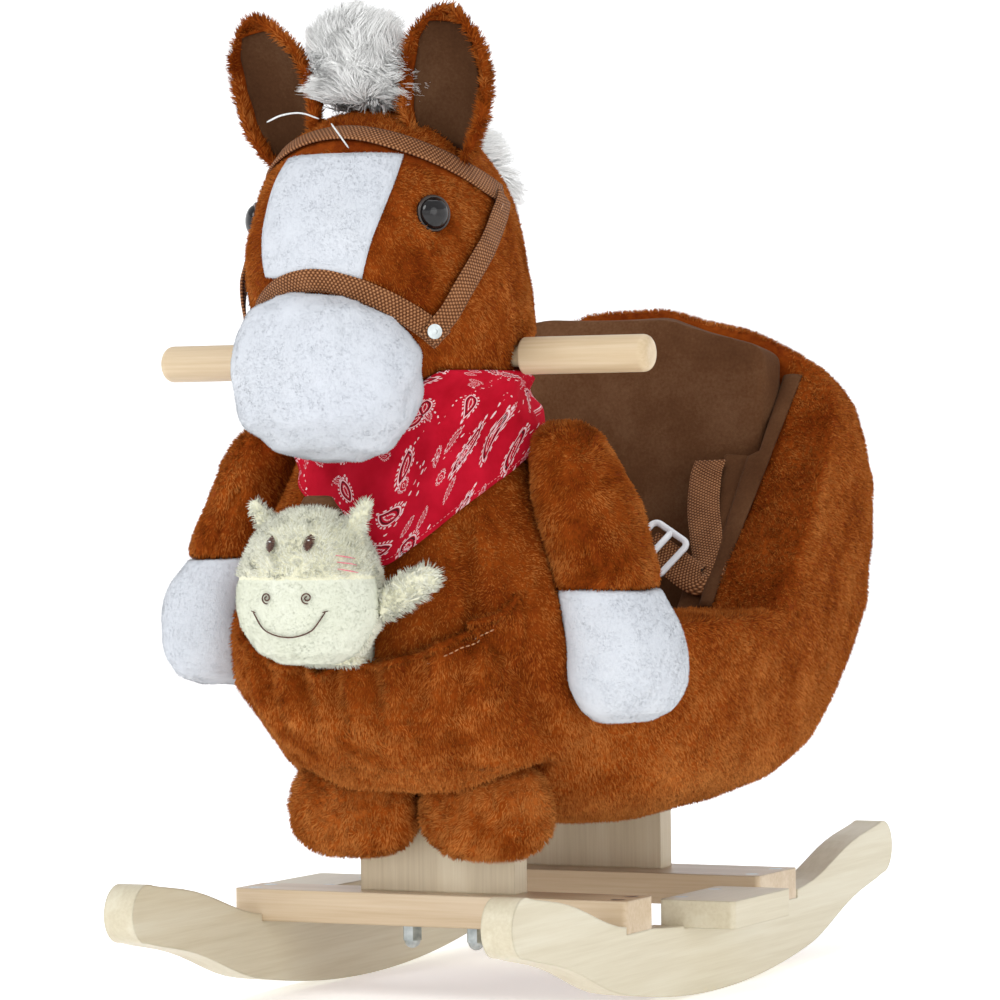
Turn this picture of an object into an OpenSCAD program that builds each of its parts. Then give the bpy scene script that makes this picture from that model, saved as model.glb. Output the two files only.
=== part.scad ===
// Plush rocking horse: a stuffed horse with a bucket seat on a wooden rocker base.
// Millimetres. +Z is up, the horse faces -Y and its left side is +X.
// The origin is on the floor, under the middle of the rockers.

/* [Rocker base] */
// Length of each rocker board
rocker_len = 548; // [536:1:560]
// Thickness of the rocker boards
rocker_t = 18; // [16:0.5:20]
// Distance between the outer faces of the two rockers
track_w = 244; // [240:1:248]
// Radius of the curve that the rockers roll on
roll_r = 800; // [760:5:880]
// Height of a rocker board at its middle
rocker_mid_h = 39.8; // [38:0.1:42]
// How much higher a rocker's top edge is at its tips
tip_rise = 35; // [30:0.5:38]
// Thickness of the boards across the rockers
cross_t = 18; // [16:0.5:18]
// Depth of the front slat, front to back
slat_d = 36; // [32:1:40]
// Depth of the rear cross board, front to back
rear_board_d = 60; // [56:1:64]
// Width of each footrest block
footrest_w = 45.6; // [40:0.2:48]
// Depth of each footrest block, front to back
footrest_d = 83; // [76:1:86]
// Thickness of the footrest blocks
footrest_t = 15.5; // [14:0.5:17]

/* [Posts and inner frame] */
// Width of the two posts
post_w = 96; // [90:1:100]
// Thickness of the posts
post_t = 16; // [15:0.5:17]
// Thickness of the boards inside the plush
board_t = 18; // [15:1:18]
// Width of the seat board under the rider
seat_board_w = 160; // [140:2:164]
// Height of the top of the neck board
neck_top = 388; // [380:1:392]

/* [Handle] */
// Length of the handle from end to end
handle_len = 300; // [280:1:304]
// Diameter of the handle
handle_d = 20.4; // [19:0.2:22]
// Height of the handle's centre line
handle_z = 359; // [355:0.5:362]
// Distance of the handle in front of the middle of the rockers
handle_front = 151; // [148:0.5:154]

/* [Fasteners] */
// Diameter of the post bolts
bolt_d = 6; // [5:0.5:6]
// Width of the cap nuts across their flats
nut_af = 10; // [10:0.5:11]
// Diameter of the wood screw shanks
screw_d = 4; // [3.5:0.1:4.5]
// Diameter of the wood screw heads
screw_head_d = 8; // [7.5:0.1:8.5]

/* [Tack] */
// Width of the halter webbing
halter_w = 13; // [11:0.5:14]
// Width of the lap belt webbing
belt_w = 20; // [18:0.5:22]
// Thickness of the webbing
web_t = 1.8; // [1.4:0.1:2]

/* [Hidden] */
$fn = 48;

plush = [0.66, 0.32, 0.12];
suede = [0.45, 0.34, 0.26];
white_plush = [0.94, 0.95, 0.97];
cream = [0.88, 0.88, 0.8];
pine = [0.87, 0.79, 0.66];
ply = [0.8, 0.69, 0.52];
steel = [0.6, 0.64, 0.64];
webbing = [0.64, 0.42, 0.25];
red_cloth = [0.74, 0.09, 0.16];

// Wooden base
rocker_x = track_w / 2;
tip_power = 2.2;
recurve = 6;
recurve_from = 135;
flat_half = rocker_len / 2 - 16;
slat_y = -113;
rear_board_y = 86;
footrest_y = -11.5;
front_post_y = -109;
rear_post_y = 91;
bolt_x = 20;
plate_r = 3;
footrest_screw_y = 24;
slat_z = rocker_top(abs(slat_y) - slat_d / 2);
rear_board_z = rocker_top(rear_board_y - rear_board_d / 2);
footrest_z = rocker_top(0);
grip_x = 74;
grip_edge = 1.5;
grip_bore = 26;
rod_d = 12;
seat_board_z = 126;
seat_front_w = 96;
seat_front_y = -117;
seat_step_y = -60;
seat_rear_y = 130;
neck_d = 86;
neck_y = -118;
withers = [282, 318];
withers_step = 24;
back_board_w = 170;
back_board_top = 350;
barrel_z = 100;
barrel_d = 10;
washer_d = 12;
washer_t = 1.5;
nut_h = 13;
nut_bore = 9;
bolt_top = 112;
screw_len = 34;
board_screw_len = 40;
bracket_screw_len = 14;
head_h = 2.6;
bracket_leg = 26;
bracket_t = 2;
bracket_w = 18;
bracket_x = 36;

// Sewn pieces
skin_gap = 0.4;
band_gap = 0.9;
arm_gap = 0.8;
arm_top = 322;
cuff_z = 233;
right_lift = 18;
foot_axis = [-137, 121];
foot_half_t = 16;
pony_lift = 16;
seam_z = 213;
wing_in = 78;
rim_x = 108;
pad_y = 112;
well_w = 176;
well_y = 5;
wing_y = 25;
wing_slope = 1.136;
seat_top = 203;
eye_r = 9.5;
eye_turn = 55;
rivet_turn = 43;
rivet_z = 371;
rivet_room = 10;
strap_top = [96, 443];

// The pony's seated part in the pocket, its neck, and the heights where they start and end
pony_x = -12;
pony_half = [24, 14];
pony_y = -177;
neck_half = [18, 22];
neck_at = -200;
pony_low = 156;
pony_lip = 193;
pony_r = 8;
pony_gap = 0.5;
pony_neck_top = 222;

// The lap belt, where it leaves the seat's side and where it folds
belt_top = [76.5, 92, 290.4];
fold = [100, 43, 234.8];
fold_back = [101, 40, 231.6];
strap_end = [69.5, 45, 246.5];
slope_face = [0, -0.75, 0.66];
hang_top = [75.5, 96, 292];
hang_low = [75.5, 62, 216];
tongue_from = [75, 58, 213];
tongue_to = [38, 50, 206.5];

// Key sections of the sewn forms: height, centre x, centre y, half width, half depth, squareness
barrel = [[97, 0, 21, 62, 80, 2.2], [104, 0, 22, 94, 112, 2.5], [117, 0, 27, 121, 144, 2.7],
    [135, 0, 33, 134, 166, 2.9], [160, 0, 38, 142, 182, 3.1], [215, 0, 57, 150, 196, 3.6],
    [288, 0, 58, 151, 197, 3.9], [331, 0, 48, 147, 188, 3.9], [355, 0, 33, 134, 178, 3.6],
    [377, 0, 20, 104, 168, 3], [393, 0, 8, 50, 157, 2.6]];
chest = [[108, 0, -110, 30, 28, 2], [115, 0, -111, 52, 48, 2], [137, 0, -112, 86, 76, 2],
    [168, 0, -114, 107, 88, 2.1], [190, 0, -115, 117, 91, 2.1], [218, 0, -115, 118, 90, 2.1],
    [240, 0, -117, 105, 84, 2.1], [270, 0, -121, 86, 74, 2.1], [300, 0, -125, 72, 66, 2.1],
    [320, 0, -127, 66, 60, 2.1], [335, 0, -130, 61, 56, 2.1]];
skull = [[335.5, 0, -142, 60, 60, 2.1], [350, 0, -152, 69, 72, 2.1], [374, 0, -160, 73, 80, 2.2],
    [399, 0, -165, 71, 90, 2.2], [420, 0, -168, 68, 89, 2.2], [434, 0, -168, 65, 84, 2.2],
    [456, 0, -169, 60, 73, 2.1], [475, 0, -168, 49, 57, 2], [488, 0, -166, 33, 38, 2],
    [495, 0, -164, 14, 16, 2]];
snout = [[304, -5, -222, 20, 16, 2], [309, -5, -224, 34, 28, 2], [324, -5, -228, 47, 41, 2.2],
    [346, -5, -228.5, 52, 45, 2.3], [368, -5, -228.5, 51, 45, 2.3], [383, -5, -227, 43, 41, 2.2],
    [392, -5, -224, 29, 33, 2]];
arm = [[233, 114, -133, 26, 32, 2.3], [245, 112, -133, 26.5, 33, 2.2], [270, 104, -133, 26, 34, 2.1],
    [298, 95, -133, 23, 31, 2.1], [315, 91, -133, 17, 23, 2], [322, 90, -133, 9, 12, 2]];
hoof = [[160, 123, -134, 16, 19, 2], [166, 125, -134, 24, 29, 2.2], [180, 127, -134, 29, 36, 2.4],
    [198, 127, -134, 30, 38, 2.4], [216, 122, -134, 29, 36, 2.3], [232.5, 115, -133, 26.5, 33, 2.3]];
ear = [[476, 45, -178, 15, 10, 2], [486, 47, -182, 23, 13, 2.2], [502, 51, -190, 26, 14, 2.2],
    [520, 55, -198, 22, 12, 2.1], [537, 58, -206, 13, 8, 2], [547, 60, -210, 4, 3, 2]];
foot = [[84, 41, -137, 18, 9, 2.2], [88, 41, -137, 29, 13, 2.4], [97, 41, -137, 37, 15.6, 2.6],
    [112, 41, -137, 39, 15.8, 2.6], [121, 41, -137, 37, 16, 2.6], [129, 41, -137, 33, 13.7, 2.4],
    [135.5, 41, -137, 25, 6, 2.2]];
pony_skull = [[195, -12, -240, 16, 15, 2], [201, -12, -240, 28, 25, 2.1], [216, -12, -240, 38, 32, 2.2],
    [235, -12, -240, 40, 33, 2.2], [254, -12, -239, 34, 30, 2.1], [268, -12, -238, 25, 24, 2],
    [277, -12, -237, 10, 10, 2]];

// How far the ends of a rocker curl up from the plain curve
function curl(y) = abs(y) < recurve_from ? 0 : recurve * pow(sin(180 * (abs(y) - recurve_from) / 140), 2);
function rocker_top(y) = rocker_mid_h + tip_rise * pow(abs(y) / flat_half, tip_power) + curl(y);
function rocker_bottom(y) = roll_r - sqrt(roll_r * roll_r - y * y) + curl(y);
function bend(a, b, c, d, s) =
    (2 * b + (c - a) * s + (2 * a - 5 * b + 4 * c - d) * s * s + (3 * b - a - 3 * c + d) * s * s * s) / 2;
function stage_of(tab, z, i = 0) = i >= len(tab) - 2 || z < tab[i + 1][0] ? i : stage_of(tab, z, i + 1);
// The section of a sewn form at height z, smooth between the key sections
function section(tab, z) =
    let (i = stage_of(tab, z), s = (z - tab[i][0]) / (tab[i + 1][0] - tab[i][0]))
    let (before = tab[max(i - 1, 0)], after = tab[min(i + 2, len(tab) - 1)])
    [for (c = [0:5]) c == 0 ? z : bend(before[c], tab[i][c], tab[i + 1][c], after[c], s)];
// A point on a section: turn 0 is the front, turn 90 is the horse's left
function on_section(r, turn, out = 0) =
    let (c = -cos(turn), s = sin(turn), e = 2 / r[5])
    [r[1] + (r[3] + out) * sign(s) * pow(abs(s), e), r[2] + (r[4] + out) * sign(c) * pow(abs(c), e), r[0]];
function heights(tab, steps) =
    [for (i = [0:len(tab) - 2], k = [0:steps - 1]) tab[i][0] + (tab[i + 1][0] - tab[i][0]) * k / steps,
        tab[len(tab) - 1][0]];

// A closed stuffed form through the key sections, grown by out
module form(tab, out = 0, sides = 28, steps = 2) {
    zs = heights(tab, steps);
    top = len(zs) - 1;
    lift = function (i) i == 0 ? -out : i == top ? out : 0;
    points = [for (i = [0:top], j = [0:sides - 1])
        on_section(section(tab, zs[i]), 360 * j / sides, out) + [0, 0, lift(i)]];
    at = function (i, j) i * sides + j % sides;
    walls = [for (i = [0:top - 1], j = [0:sides - 1], half = [0, 1])
        half == 0 ? [at(i, j), at(i + 1, j), at(i + 1, j + 1)] : [at(i, j), at(i + 1, j + 1), at(i, j + 1)]];
    floor_face = [for (j = [0:sides - 1]) at(0, j)];
    roof_face = [for (j = [sides - 1:-1:0]) at(top, j)];
    polyhedron(points, concat(walls, [floor_face, roof_face]));
}

// A closed sheet that lies on a form. Each grid entry is [turn, height, inner gap, outer gap]
module sheet_on(tab, grid) {
    rows = len(grid);
    cols = len(grid[0]);
    skin = function (side) [for (row = grid, g = row) on_section(section(tab, g[1]), g[0], g[side])];
    at = function (side, i, j) (side * rows + i) * cols + j;
    quads = concat(
        [for (i = [0:rows - 2], j = [0:cols - 2])
            [at(1, i, j), at(1, i + 1, j), at(1, i + 1, j + 1), at(1, i, j + 1)]],
        [for (i = [0:rows - 2], j = [0:cols - 2])
            [at(0, i, j), at(0, i, j + 1), at(0, i + 1, j + 1), at(0, i + 1, j)]],
        [for (j = [0:cols - 2]) [at(1, 0, j), at(1, 0, j + 1), at(0, 0, j + 1), at(0, 0, j)]],
        [for (j = [0:cols - 2], r = rows - 1) [at(1, r, j + 1), at(1, r, j), at(0, r, j), at(0, r, j + 1)]],
        [for (i = [0:rows - 2]) [at(1, i + 1, 0), at(1, i, 0), at(0, i, 0), at(0, i + 1, 0)]],
        [for (i = [0:rows - 2], c = cols - 1) [at(1, i, c), at(1, i + 1, c), at(0, i + 1, c), at(0, i, c)]]);
    polyhedron(concat(skin(2), skin(3)), [for (q = quads, t = [[q[0], q[1], q[2]], [q[0], q[2], q[3]]]) t]);
}

module mirrored() {
    children();
    mirror([1, 0, 0]) children();
}

// A flat board lying in XY with rounded corners, its underside at z = 0
module plate(w, d, t, r) {
    linear_extrude(t) {
        square([w - 2 * r, d], center = true);
        square([w, d - 2 * r], center = true);
        for (x = [-1, 1], y = [-1, 1]) translate([x * (w / 2 - r), y * (d / 2 - r)]) circle(r);
    }
}

// A countersunk wood screw pointing down, its head's top at z = 0
module wood_screw(len) {
    translate([0, 0, -head_h]) cylinder(d1 = screw_d, d2 = screw_head_d, h = head_h);
    translate([0, 0, head_h - len]) cylinder(d = screw_d, h = len - 2 * head_h);
    translate([0, 0, -len]) cylinder(d1 = screw_d / 4, d2 = screw_d, h = head_h);
}

module rocker_outline() {
    tip_y = flat_half;
    tip_r = (rocker_top(tip_y) - rocker_bottom(tip_y)) / 2;
    ys = [for (i = [0:40]) -tip_y + 2 * tip_y * i / 40];
    polygon(concat([for (y = ys) [y, rocker_bottom(y)]], [for (i = [40:-1:0]) [ys[i], rocker_top(ys[i])]]));
    for (s = [-1, 1]) translate([s * tip_y, rocker_bottom(tip_y) + tip_r]) circle(tip_r);
}

module rocker_board() {
    flats = [[slat_y, slat_d, slat_z], [rear_board_y, rear_board_d, rear_board_z],
        [footrest_y, footrest_d, footrest_z]];
    difference() {
        rotate([90, 0, 90]) linear_extrude(rocker_t) rocker_outline();
        for (f = flats) translate([-1, f[0] - f[1] / 2, f[2]]) cube([rocker_t + 2, f[1], cross_t]);
        translate([rocker_t / 2, 0, 0]) rocker_screw_set();
        translate([rocker_t / 2, 0, 0]) footrest_screw_set();
    }
}

module rocker_screw_set() {
    for (b = [[slat_y, slat_z, 9], [rear_board_y, rear_board_z, 18]], s = [-1, 1])
        translate([0, b[0] + s * b[2], b[1] + cross_t]) wood_screw(screw_len);
}

module footrest_screw_set() {
    for (s = [-1, 1]) translate([0, footrest_y + s * footrest_screw_y, footrest_z + footrest_t])
        wood_screw(screw_len);
}

module rocker_left() {
    color(pine) translate([rocker_x - rocker_t, 0, 0]) rocker_board();
}

module rocker_right() {
    color(pine) mirror([1, 0, 0]) translate([rocker_x - rocker_t, 0, 0]) rocker_board();
}

module post_bolt_holes(y) {
    for (s = [-1, 1]) translate([s * bolt_x, y, 0]) cylinder(d = bolt_d, h = bolt_top);
}

module front_cross_slat() {
    color(pine) difference() {
        translate([0, slat_y, slat_z]) plate(track_w, slat_d, cross_t, plate_r);
        mirrored() translate([rocker_x - rocker_t / 2, 0, 0]) rocker_screw_set();
        post_bolt_holes(front_post_y);
    }
}

module rear_cross_board() {
    color(pine) difference() {
        translate([0, rear_board_y, rear_board_z]) plate(track_w, rear_board_d, cross_t, plate_r);
        mirrored() translate([rocker_x - rocker_t / 2, 0, 0]) rocker_screw_set();
        post_bolt_holes(rear_post_y);
    }
}

module footrest() {
    inner_x = rocker_x - rocker_t + plate_r;
    difference() {
        translate([inner_x + footrest_w / 2, footrest_y, footrest_z])
            plate(footrest_w, footrest_d, footrest_t, plate_r);
        translate([rocker_x - rocker_t / 2, 0, 0]) footrest_screw_set();
    }
}

module footrest_left() {
    color(pine) footrest();
}

module footrest_right() {
    color(pine) mirror([1, 0, 0]) footrest();
}

module post(y, foot_z) {
    difference() {
        translate([-post_w / 2, y - post_t / 2, foot_z]) cube([post_w, post_t, seat_board_z - foot_z]);
        post_bolt_holes(y);
        barrel_nut_pair(y);
        bracket_screw_pair(y);
    }
}

module front_post() {
    color(pine) post(front_post_y, slat_z + cross_t);
}

module rear_post() {
    color(pine) post(rear_post_y, rear_board_z + cross_t);
}

module seat_board() {
    color(ply) difference() {
        translate([0, 0, seat_board_z]) {
            translate([-seat_board_w / 2, seat_step_y, 0])
                cube([seat_board_w, seat_rear_y - seat_step_y, board_t]);
            translate([-seat_front_w / 2, seat_front_y, 0])
                cube([seat_front_w, seat_step_y - seat_front_y, board_t]);
        }
        for (y = [front_post_y, rear_post_y]) bracket_screw_pair(y);
        board_screw_set();
    }
}

module back_board() {
    color(ply) difference() {
        translate([-back_board_w / 2, seat_rear_y, seat_board_z])
            cube([back_board_w, board_t, back_board_top - seat_board_z]);
        board_screw_set();
    }
}

// The upright neck board above a height: its rear edge steps forward over the withers
module neck_board_form(low) {
    front = neck_y - neck_d / 2;
    rear = neck_y + neck_d / 2;
    translate([-board_t / 2, 0, 0]) rotate([90, 0, 90]) linear_extrude(board_t)
        polygon([[front, low], [rear, low], [rear, withers[0]], [rear - withers_step, withers[1]],
            [rear - withers_step, neck_top], [front, neck_top]]);
}

module neck_board() {
    color(ply) difference() {
        neck_board_form(seat_board_z + board_t);
        rod_space();
        board_screw_set();
    }
}

// One turned grip: a small round where it meets the plush, a larger one at its free end
module grip() {
    nose = handle_d / 4.1;
    len = handle_len / 2 - grip_x;
    translate([grip_x, -handle_front, handle_z]) rotate([0, 90, 0]) rotate_extrude() difference() {
        union() {
            translate([0, grip_edge]) square([handle_d / 2, len - grip_edge - nose]);
            square([handle_d / 2 - grip_edge, 2 * grip_edge]);
            square([handle_d / 2 - nose, len]);
            translate([handle_d / 2 - grip_edge, grip_edge]) circle(grip_edge);
            translate([handle_d / 2 - nose, len - nose]) circle(nose);
        }
        translate([0, -1]) square([rod_d / 2, grip_bore + 1]);
    }
}

module handle_grips() {
    color(pine) mirrored() grip();
}

module rod_space() {
    reach = grip_x + grip_bore;
    translate([-reach, -handle_front, handle_z]) rotate([0, 90, 0]) cylinder(d = rod_d, h = 2 * reach);
}

module handle_rod() {
    color(pine) rod_space();
}

module post_bolts() {
    color(steel) for (b = [[front_post_y, slat_z], [rear_post_y, rear_board_z]], s = [-1, 1])
        translate([s * bolt_x, b[0], b[1] - washer_t - nut_bore])
            cylinder(d = bolt_d, h = bolt_top - b[1] + washer_t + nut_bore);
}

module barrel_nut_pair(y) {
    for (s = [-1, 1]) translate([s * bolt_x, y + post_t / 2, barrel_z]) rotate([90, 0, 0])
        cylinder(d = barrel_d, h = post_t);
}

module barrel_nuts() {
    color(steel) for (y = [front_post_y, rear_post_y]) difference() {
        barrel_nut_pair(y);
        post_bolt_holes(y);
    }
}

module post_washers() {
    color(steel) for (b = [[front_post_y, slat_z], [rear_post_y, rear_board_z]], s = [-1, 1])
        translate([s * bolt_x, b[0], b[1] - washer_t]) difference() {
            cylinder(d = washer_d, h = washer_t);
            translate([0, 0, -1]) cylinder(d = bolt_d, h = washer_t + 2);
        }
}

module cap_nut() {
    dome_r = nut_af / 2 - 0.4;
    difference() {
        union() {
            translate([0, 0, dome_r]) cylinder(d = nut_af / cos(30), h = nut_h - dome_r, $fn = 6);
            translate([0, 0, dome_r]) sphere(dome_r);
        }
        translate([0, 0, nut_h - nut_bore]) cylinder(d = bolt_d, h = nut_h);
    }
}

module cap_nuts() {
    color(steel) for (b = [[front_post_y, slat_z], [rear_post_y, rear_board_z]], s = [-1, 1])
        translate([s * bolt_x, b[0], b[1] - washer_t - nut_h]) cap_nut();
}

module rocker_screws() {
    color(steel) mirrored() translate([rocker_x - rocker_t / 2, 0, 0]) rocker_screw_set();
}

module footrest_screws() {
    color(steel) mirrored() translate([rocker_x - rocker_t / 2, 0, 0]) footrest_screw_set();
}

// Screws that come up through the seat board into the boards that stand on it
module board_screw_set() {
    for (y = [-94, -80]) translate([0, y, seat_board_z]) mirror([0, 0, 1]) wood_screw(board_screw_len);
    for (x = [-60, 0, 60]) translate([x, seat_rear_y + board_t, 135]) rotate([-90, 0, 0])
        wood_screw(board_screw_len);
}

module board_screws() {
    color(steel) board_screw_set();
}

// Places its children under the seat board, at the inner face of the post that stands at y
module at_brackets(y) {
    inward = y < 0 ? 1 : -1;
    for (s = [-1, 1]) translate([s * bracket_x, y + inward * post_t / 2, seat_board_z])
        mirror([0, inward < 0 ? 1 : 0, 0]) children();
}

module bracket_screw_set() {
    translate([0, bracket_t, 6 - bracket_leg]) rotate([-90, 0, 0]) wood_screw(bracket_screw_len);
    translate([0, bracket_leg - 8, -bracket_t]) mirror([0, 0, 1]) wood_screw(bracket_screw_len);
}

module bracket() {
    difference() {
        union() {
            translate([-bracket_w / 2, 0, -bracket_leg]) cube([bracket_w, bracket_t, bracket_leg]);
            translate([-bracket_w / 2, 0, -bracket_t]) cube([bracket_w, bracket_leg, bracket_t]);
        }
        bracket_screw_set();
    }
}

module bracket_screw_pair(y) {
    at_brackets(y) bracket_screw_set();
}

module body_brackets() {
    color(steel) for (y = [front_post_y, rear_post_y]) at_brackets(y) bracket();
}

module bracket_screws() {
    color(steel) for (y = [front_post_y, rear_post_y]) bracket_screw_pair(y);
}

// Everything that the stuffing is cut away for
module frame_space() {
    translate([-seat_board_w / 2, seat_step_y, seat_board_z])
        cube([seat_board_w, seat_rear_y - seat_step_y, board_t]);
    translate([-seat_front_w / 2, seat_front_y, seat_board_z])
        cube([seat_front_w, seat_step_y - seat_front_y, board_t]);
    neck_board_form(seat_board_z);
    back_board_space();
    for (y = [front_post_y, rear_post_y]) {
        translate([-post_w / 2, y - post_t / 2, 0]) cube([post_w, post_t, seat_board_z]);
        at_brackets(y) translate([-bracket_w / 2, 0, -bracket_leg])
            cube([bracket_w, bracket_leg, bracket_leg]);
    }
}

module back_board_space() {
    translate([-back_board_w / 2, seat_rear_y, seat_board_z])
        cube([back_board_w, board_t, back_board_top - seat_board_z]);
}

// The space that a limb needs at rest and while it swings
module arm_space() {
    form(arm, arm_gap);
    form(hoof, arm_gap);
    mirror([1, 0, 0]) short_arm(arm_gap);
    mirror([1, 0, 0]) translate([0, 0, right_lift]) form(hoof, arm_gap);
}

module foot_space() {
    reach = foot_half_t + arm_gap;
    side = 84;
    translate([-side, foot_axis[0], foot_axis[1]]) rotate([0, 90, 0]) cylinder(r = reach, h = 2 * side);
    translate([-side, -200, 60]) cube([2 * side, foot_axis[0] + reach + 200, foot_axis[1] - 60]);
}

module pony_space() {
    half_w = neck_half[0] + pony_gap;
    top = pony_neck_top + pony_lift + 2;
    translate([pony_x, pony_y, pony_low - pony_gap])
        plate(2 * (pony_half[0] + pony_gap), 2 * (pony_half[1] + pony_gap), top - pony_low, pony_r);
    translate([pony_x - half_w, -300, pony_lip - pony_gap])
        cube([2 * half_w, 300 + neck_at + neck_half[1] + pony_gap, top - pony_lip]);
}

module seat_well() {
    translate([-well_w / 2, well_y, seat_board_z + board_t])
        cube([well_w, seat_rear_y - well_y, 200]);
}

module body_plush() {
    color(plush) difference() {
        union() {
            form(chest);
            intersection() {
                form(barrel, sides = 36);
                translate([-200, -300, 0]) cube([400, 600, seam_z]);
            }
        }
        frame_space();
        seat_well();
        arm_space();
        foot_space();
        pony_space();
    }
}

module rump_plush() {
    color(plush) intersection() {
        form(barrel, sides = 36);
        translate([-200, seat_rear_y + board_t, seam_z]) cube([400, 300, 300]);
    }
}

// The slanted side of the bucket seat, from x0 to x1 and back to y1
module side_wedge(x0, x1, y1) {
    translate([x0, 0, 0]) rotate([90, 0, 90]) linear_extrude(x1 - x0)
        polygon([[wing_y, seam_z], [y1, seam_z], [y1, seam_z + (y1 - wing_y) * wing_slope]]);
}

module seat_side() {
    intersection() {
        form(barrel, sides = 36);
        side_wedge(rim_x, 200, seat_rear_y + board_t);
    }
}

module wing_pad() {
    side_wedge(wing_in, rim_x, pad_y);
    translate([wing_in, wing_y, seat_top]) cube([well_w / 2 - wing_in, pad_y - wing_y, seam_z - seat_top]);
}

module seat_side_left() {
    color(plush) seat_side();
}

module seat_side_right() {
    color(plush) mirror([1, 0, 0]) seat_side();
}

module wing_pad_left() {
    color(suede) wing_pad();
}

module wing_pad_right() {
    color(suede) mirror([1, 0, 0]) wing_pad();
}

module seat_cushion() {
    color(suede) translate([-well_w / 2, well_y, seat_board_z + board_t])
        cube([well_w, pad_y - well_y, seat_top - seat_board_z - board_t]);
}

module backrest_pad() {
    color(suede) difference() {
        union() {
            intersection() {
                form(barrel, sides = 36);
                translate([-rim_x, pad_y, seam_z]) cube([2 * rim_x, seat_rear_y + board_t - pad_y, 300]);
            }
            translate([-well_w / 2, pad_y, seat_board_z + board_t])
                cube([well_w, seat_rear_y - pad_y, seam_z - seat_board_z - board_t]);
        }
        back_board_space();
    }
}

module eye_pair() {
    mirrored() translate(on_section(section(skull, 434), eye_turn)) sphere(eye_r);
}

module eyes() {
    color([0.05, 0.05, 0.05]) eye_pair();
}

module head() {
    color(plush) difference() {
        form(skull);
        frame_space();
        rod_space();
        eye_pair();
    }
}

// Webbing around the head: its height falls by drop from the front, and it ends at +-reach degrees
module head_band(front_z, drop, reach, inner, outer, w) {
    turns = [for (i = [-12:12]) reach * i / 12];
    centre = function (t) front_z - drop * (1 - cos(t));
    sheet_on(skull, [for (s = [-1:0.5:1]) [for (t = turns) [t, centre(t) + s * w / 2, inner, outer]]]);
}

module browband_at(inner, outer, w) {
    head_band(477.5, 27, 100, inner, outer, w);
}

module noseband_at(inner, outer, w) {
    head_band(399.5, 100, 47, inner, outer, w);
}

module browband() {
    color(webbing) browband_at(band_gap, band_gap + web_t, halter_w);
}

module noseband() {
    color(webbing) noseband_at(band_gap, band_gap + web_t, halter_w);
}

module cheek_strap() {
    lower = [rivet_turn, rivet_z];
    across = [4.3, -3.6];
    inner = band_gap + web_t + 0.6;
    steps = [for (i = [0:8]) lower + (strap_top - lower) * i / 8];
    sheet_on(skull, [for (p = steps) [for (s = [-1, 1]) concat(p + s * across, [inner, inner + web_t])]]);
}

module cheek_straps() {
    color(webbing) mirrored() cheek_strap();
}

module halter_rivets() {
    out = band_gap + 2 * web_t + 1.8;
    color(steel) mirrored() translate(on_section(section(skull, rivet_z), rivet_turn, out))
        rotate([0, 90, rivet_turn - 90]) difference() {
            cylinder(d = 8, h = 1.6);
            translate([0, 0, 1]) cylinder(d = 3, h = 2);
        }
}

module muzzle() {
    color(white_plush) difference() {
        form(snout);
        form(skull, skin_gap);
        noseband_at(-3, band_gap + web_t + 0.4, halter_w + 1);
        form(chest, 3);
        cheek_space();
    }
}

// The room for the foot of a cheek strap and its rivet
module cheek_space() {
    mirrored() translate(on_section(section(skull, rivet_z), rivet_turn, web_t)) sphere(rivet_room);
}

module blaze() {
    low = 408;
    high = 463;
    half_turn = function (z) 25 + 11 * (z - low) / (high - low);
    color(white_plush) sheet_on(skull, [for (i = [0:6]) let (z = low + (high - low) * i / 6)
        [for (j = [-5:5]) [half_turn(z) * j / 5, z, skin_gap, skin_gap + 1.4]]]);
}

module ear_solid() {
    difference() {
        form(ear, sides = 20);
        form(skull, skin_gap);
        browband_at(-4, band_gap + web_t + 0.4, halter_w + 1);
    }
}

module ear_left() {
    color(plush) ear_solid();
}

module ear_right() {
    color(plush) mirror([1, 0, 0]) ear_solid();
}

module ear_linings() {
    low = 492;
    high = 540;
    color(suede) mirrored() sheet_on(ear, [for (i = [0:5]) let (z = low + (high - low) * i / 5)
        [for (j = [-4:4]) [56 * j / 4, z, skin_gap, skin_gap + 1.4]]]);
}

module forelock_form(out = 0) {
    form([[480, -3, -174, 20, 12, 2], [496, -3, -186, 30, 18, 2], [514, -3, -194, 32, 20, 2],
        [532, -3, -199, 23, 15, 2], [545, -3, -202, 8, 6, 2]], out, sides = 20);
}

module forelock() {
    color(white_plush) difference() {
        forelock_form();
        form(skull, skin_gap);
        mirrored() form(ear, skin_gap + 1.8, sides = 20);
        browband_at(-4, band_gap + web_t + 0.4, halter_w + 1);
    }
}

module neck_mane() {
    color(white_plush) difference() {
        form([[402, 0, -78, 9, 7, 2], [425, 0, -82, 22, 13, 2], [450, 0, -90, 31, 18, 2],
            [472, 0, -106, 33, 24, 2], [490, 0, -130, 26, 26, 2], [499, 0, -148, 14, 16, 2]], sides = 20);
        form(skull, skin_gap);
        mirrored() form(ear, skin_gap, sides = 20);
        forelock_form(skin_gap);
        browband_at(-4, band_gap + web_t + 0.4, halter_w + 1);
        cheek_strap_space();
    }
}

module cheek_strap_space() {
    mirrored() translate(on_section(section(skull, strap_top[1]), strap_top[0])) sphere(rivet_room + 2);
}

module tail() {
    color(white_plush) difference() {
        form([[152, 0, 250, 6, 5, 2], [172, 0, 256, 14, 10, 2], [205, 0, 261, 16, 11, 2],
            [232, 0, 258, 13, 9, 2], [250, 0, 250, 8, 7, 2]], sides = 20);
        form(barrel, skin_gap, sides = 36);
    }
}

module arm_left() {
    color(plush) form(arm);
}

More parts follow.
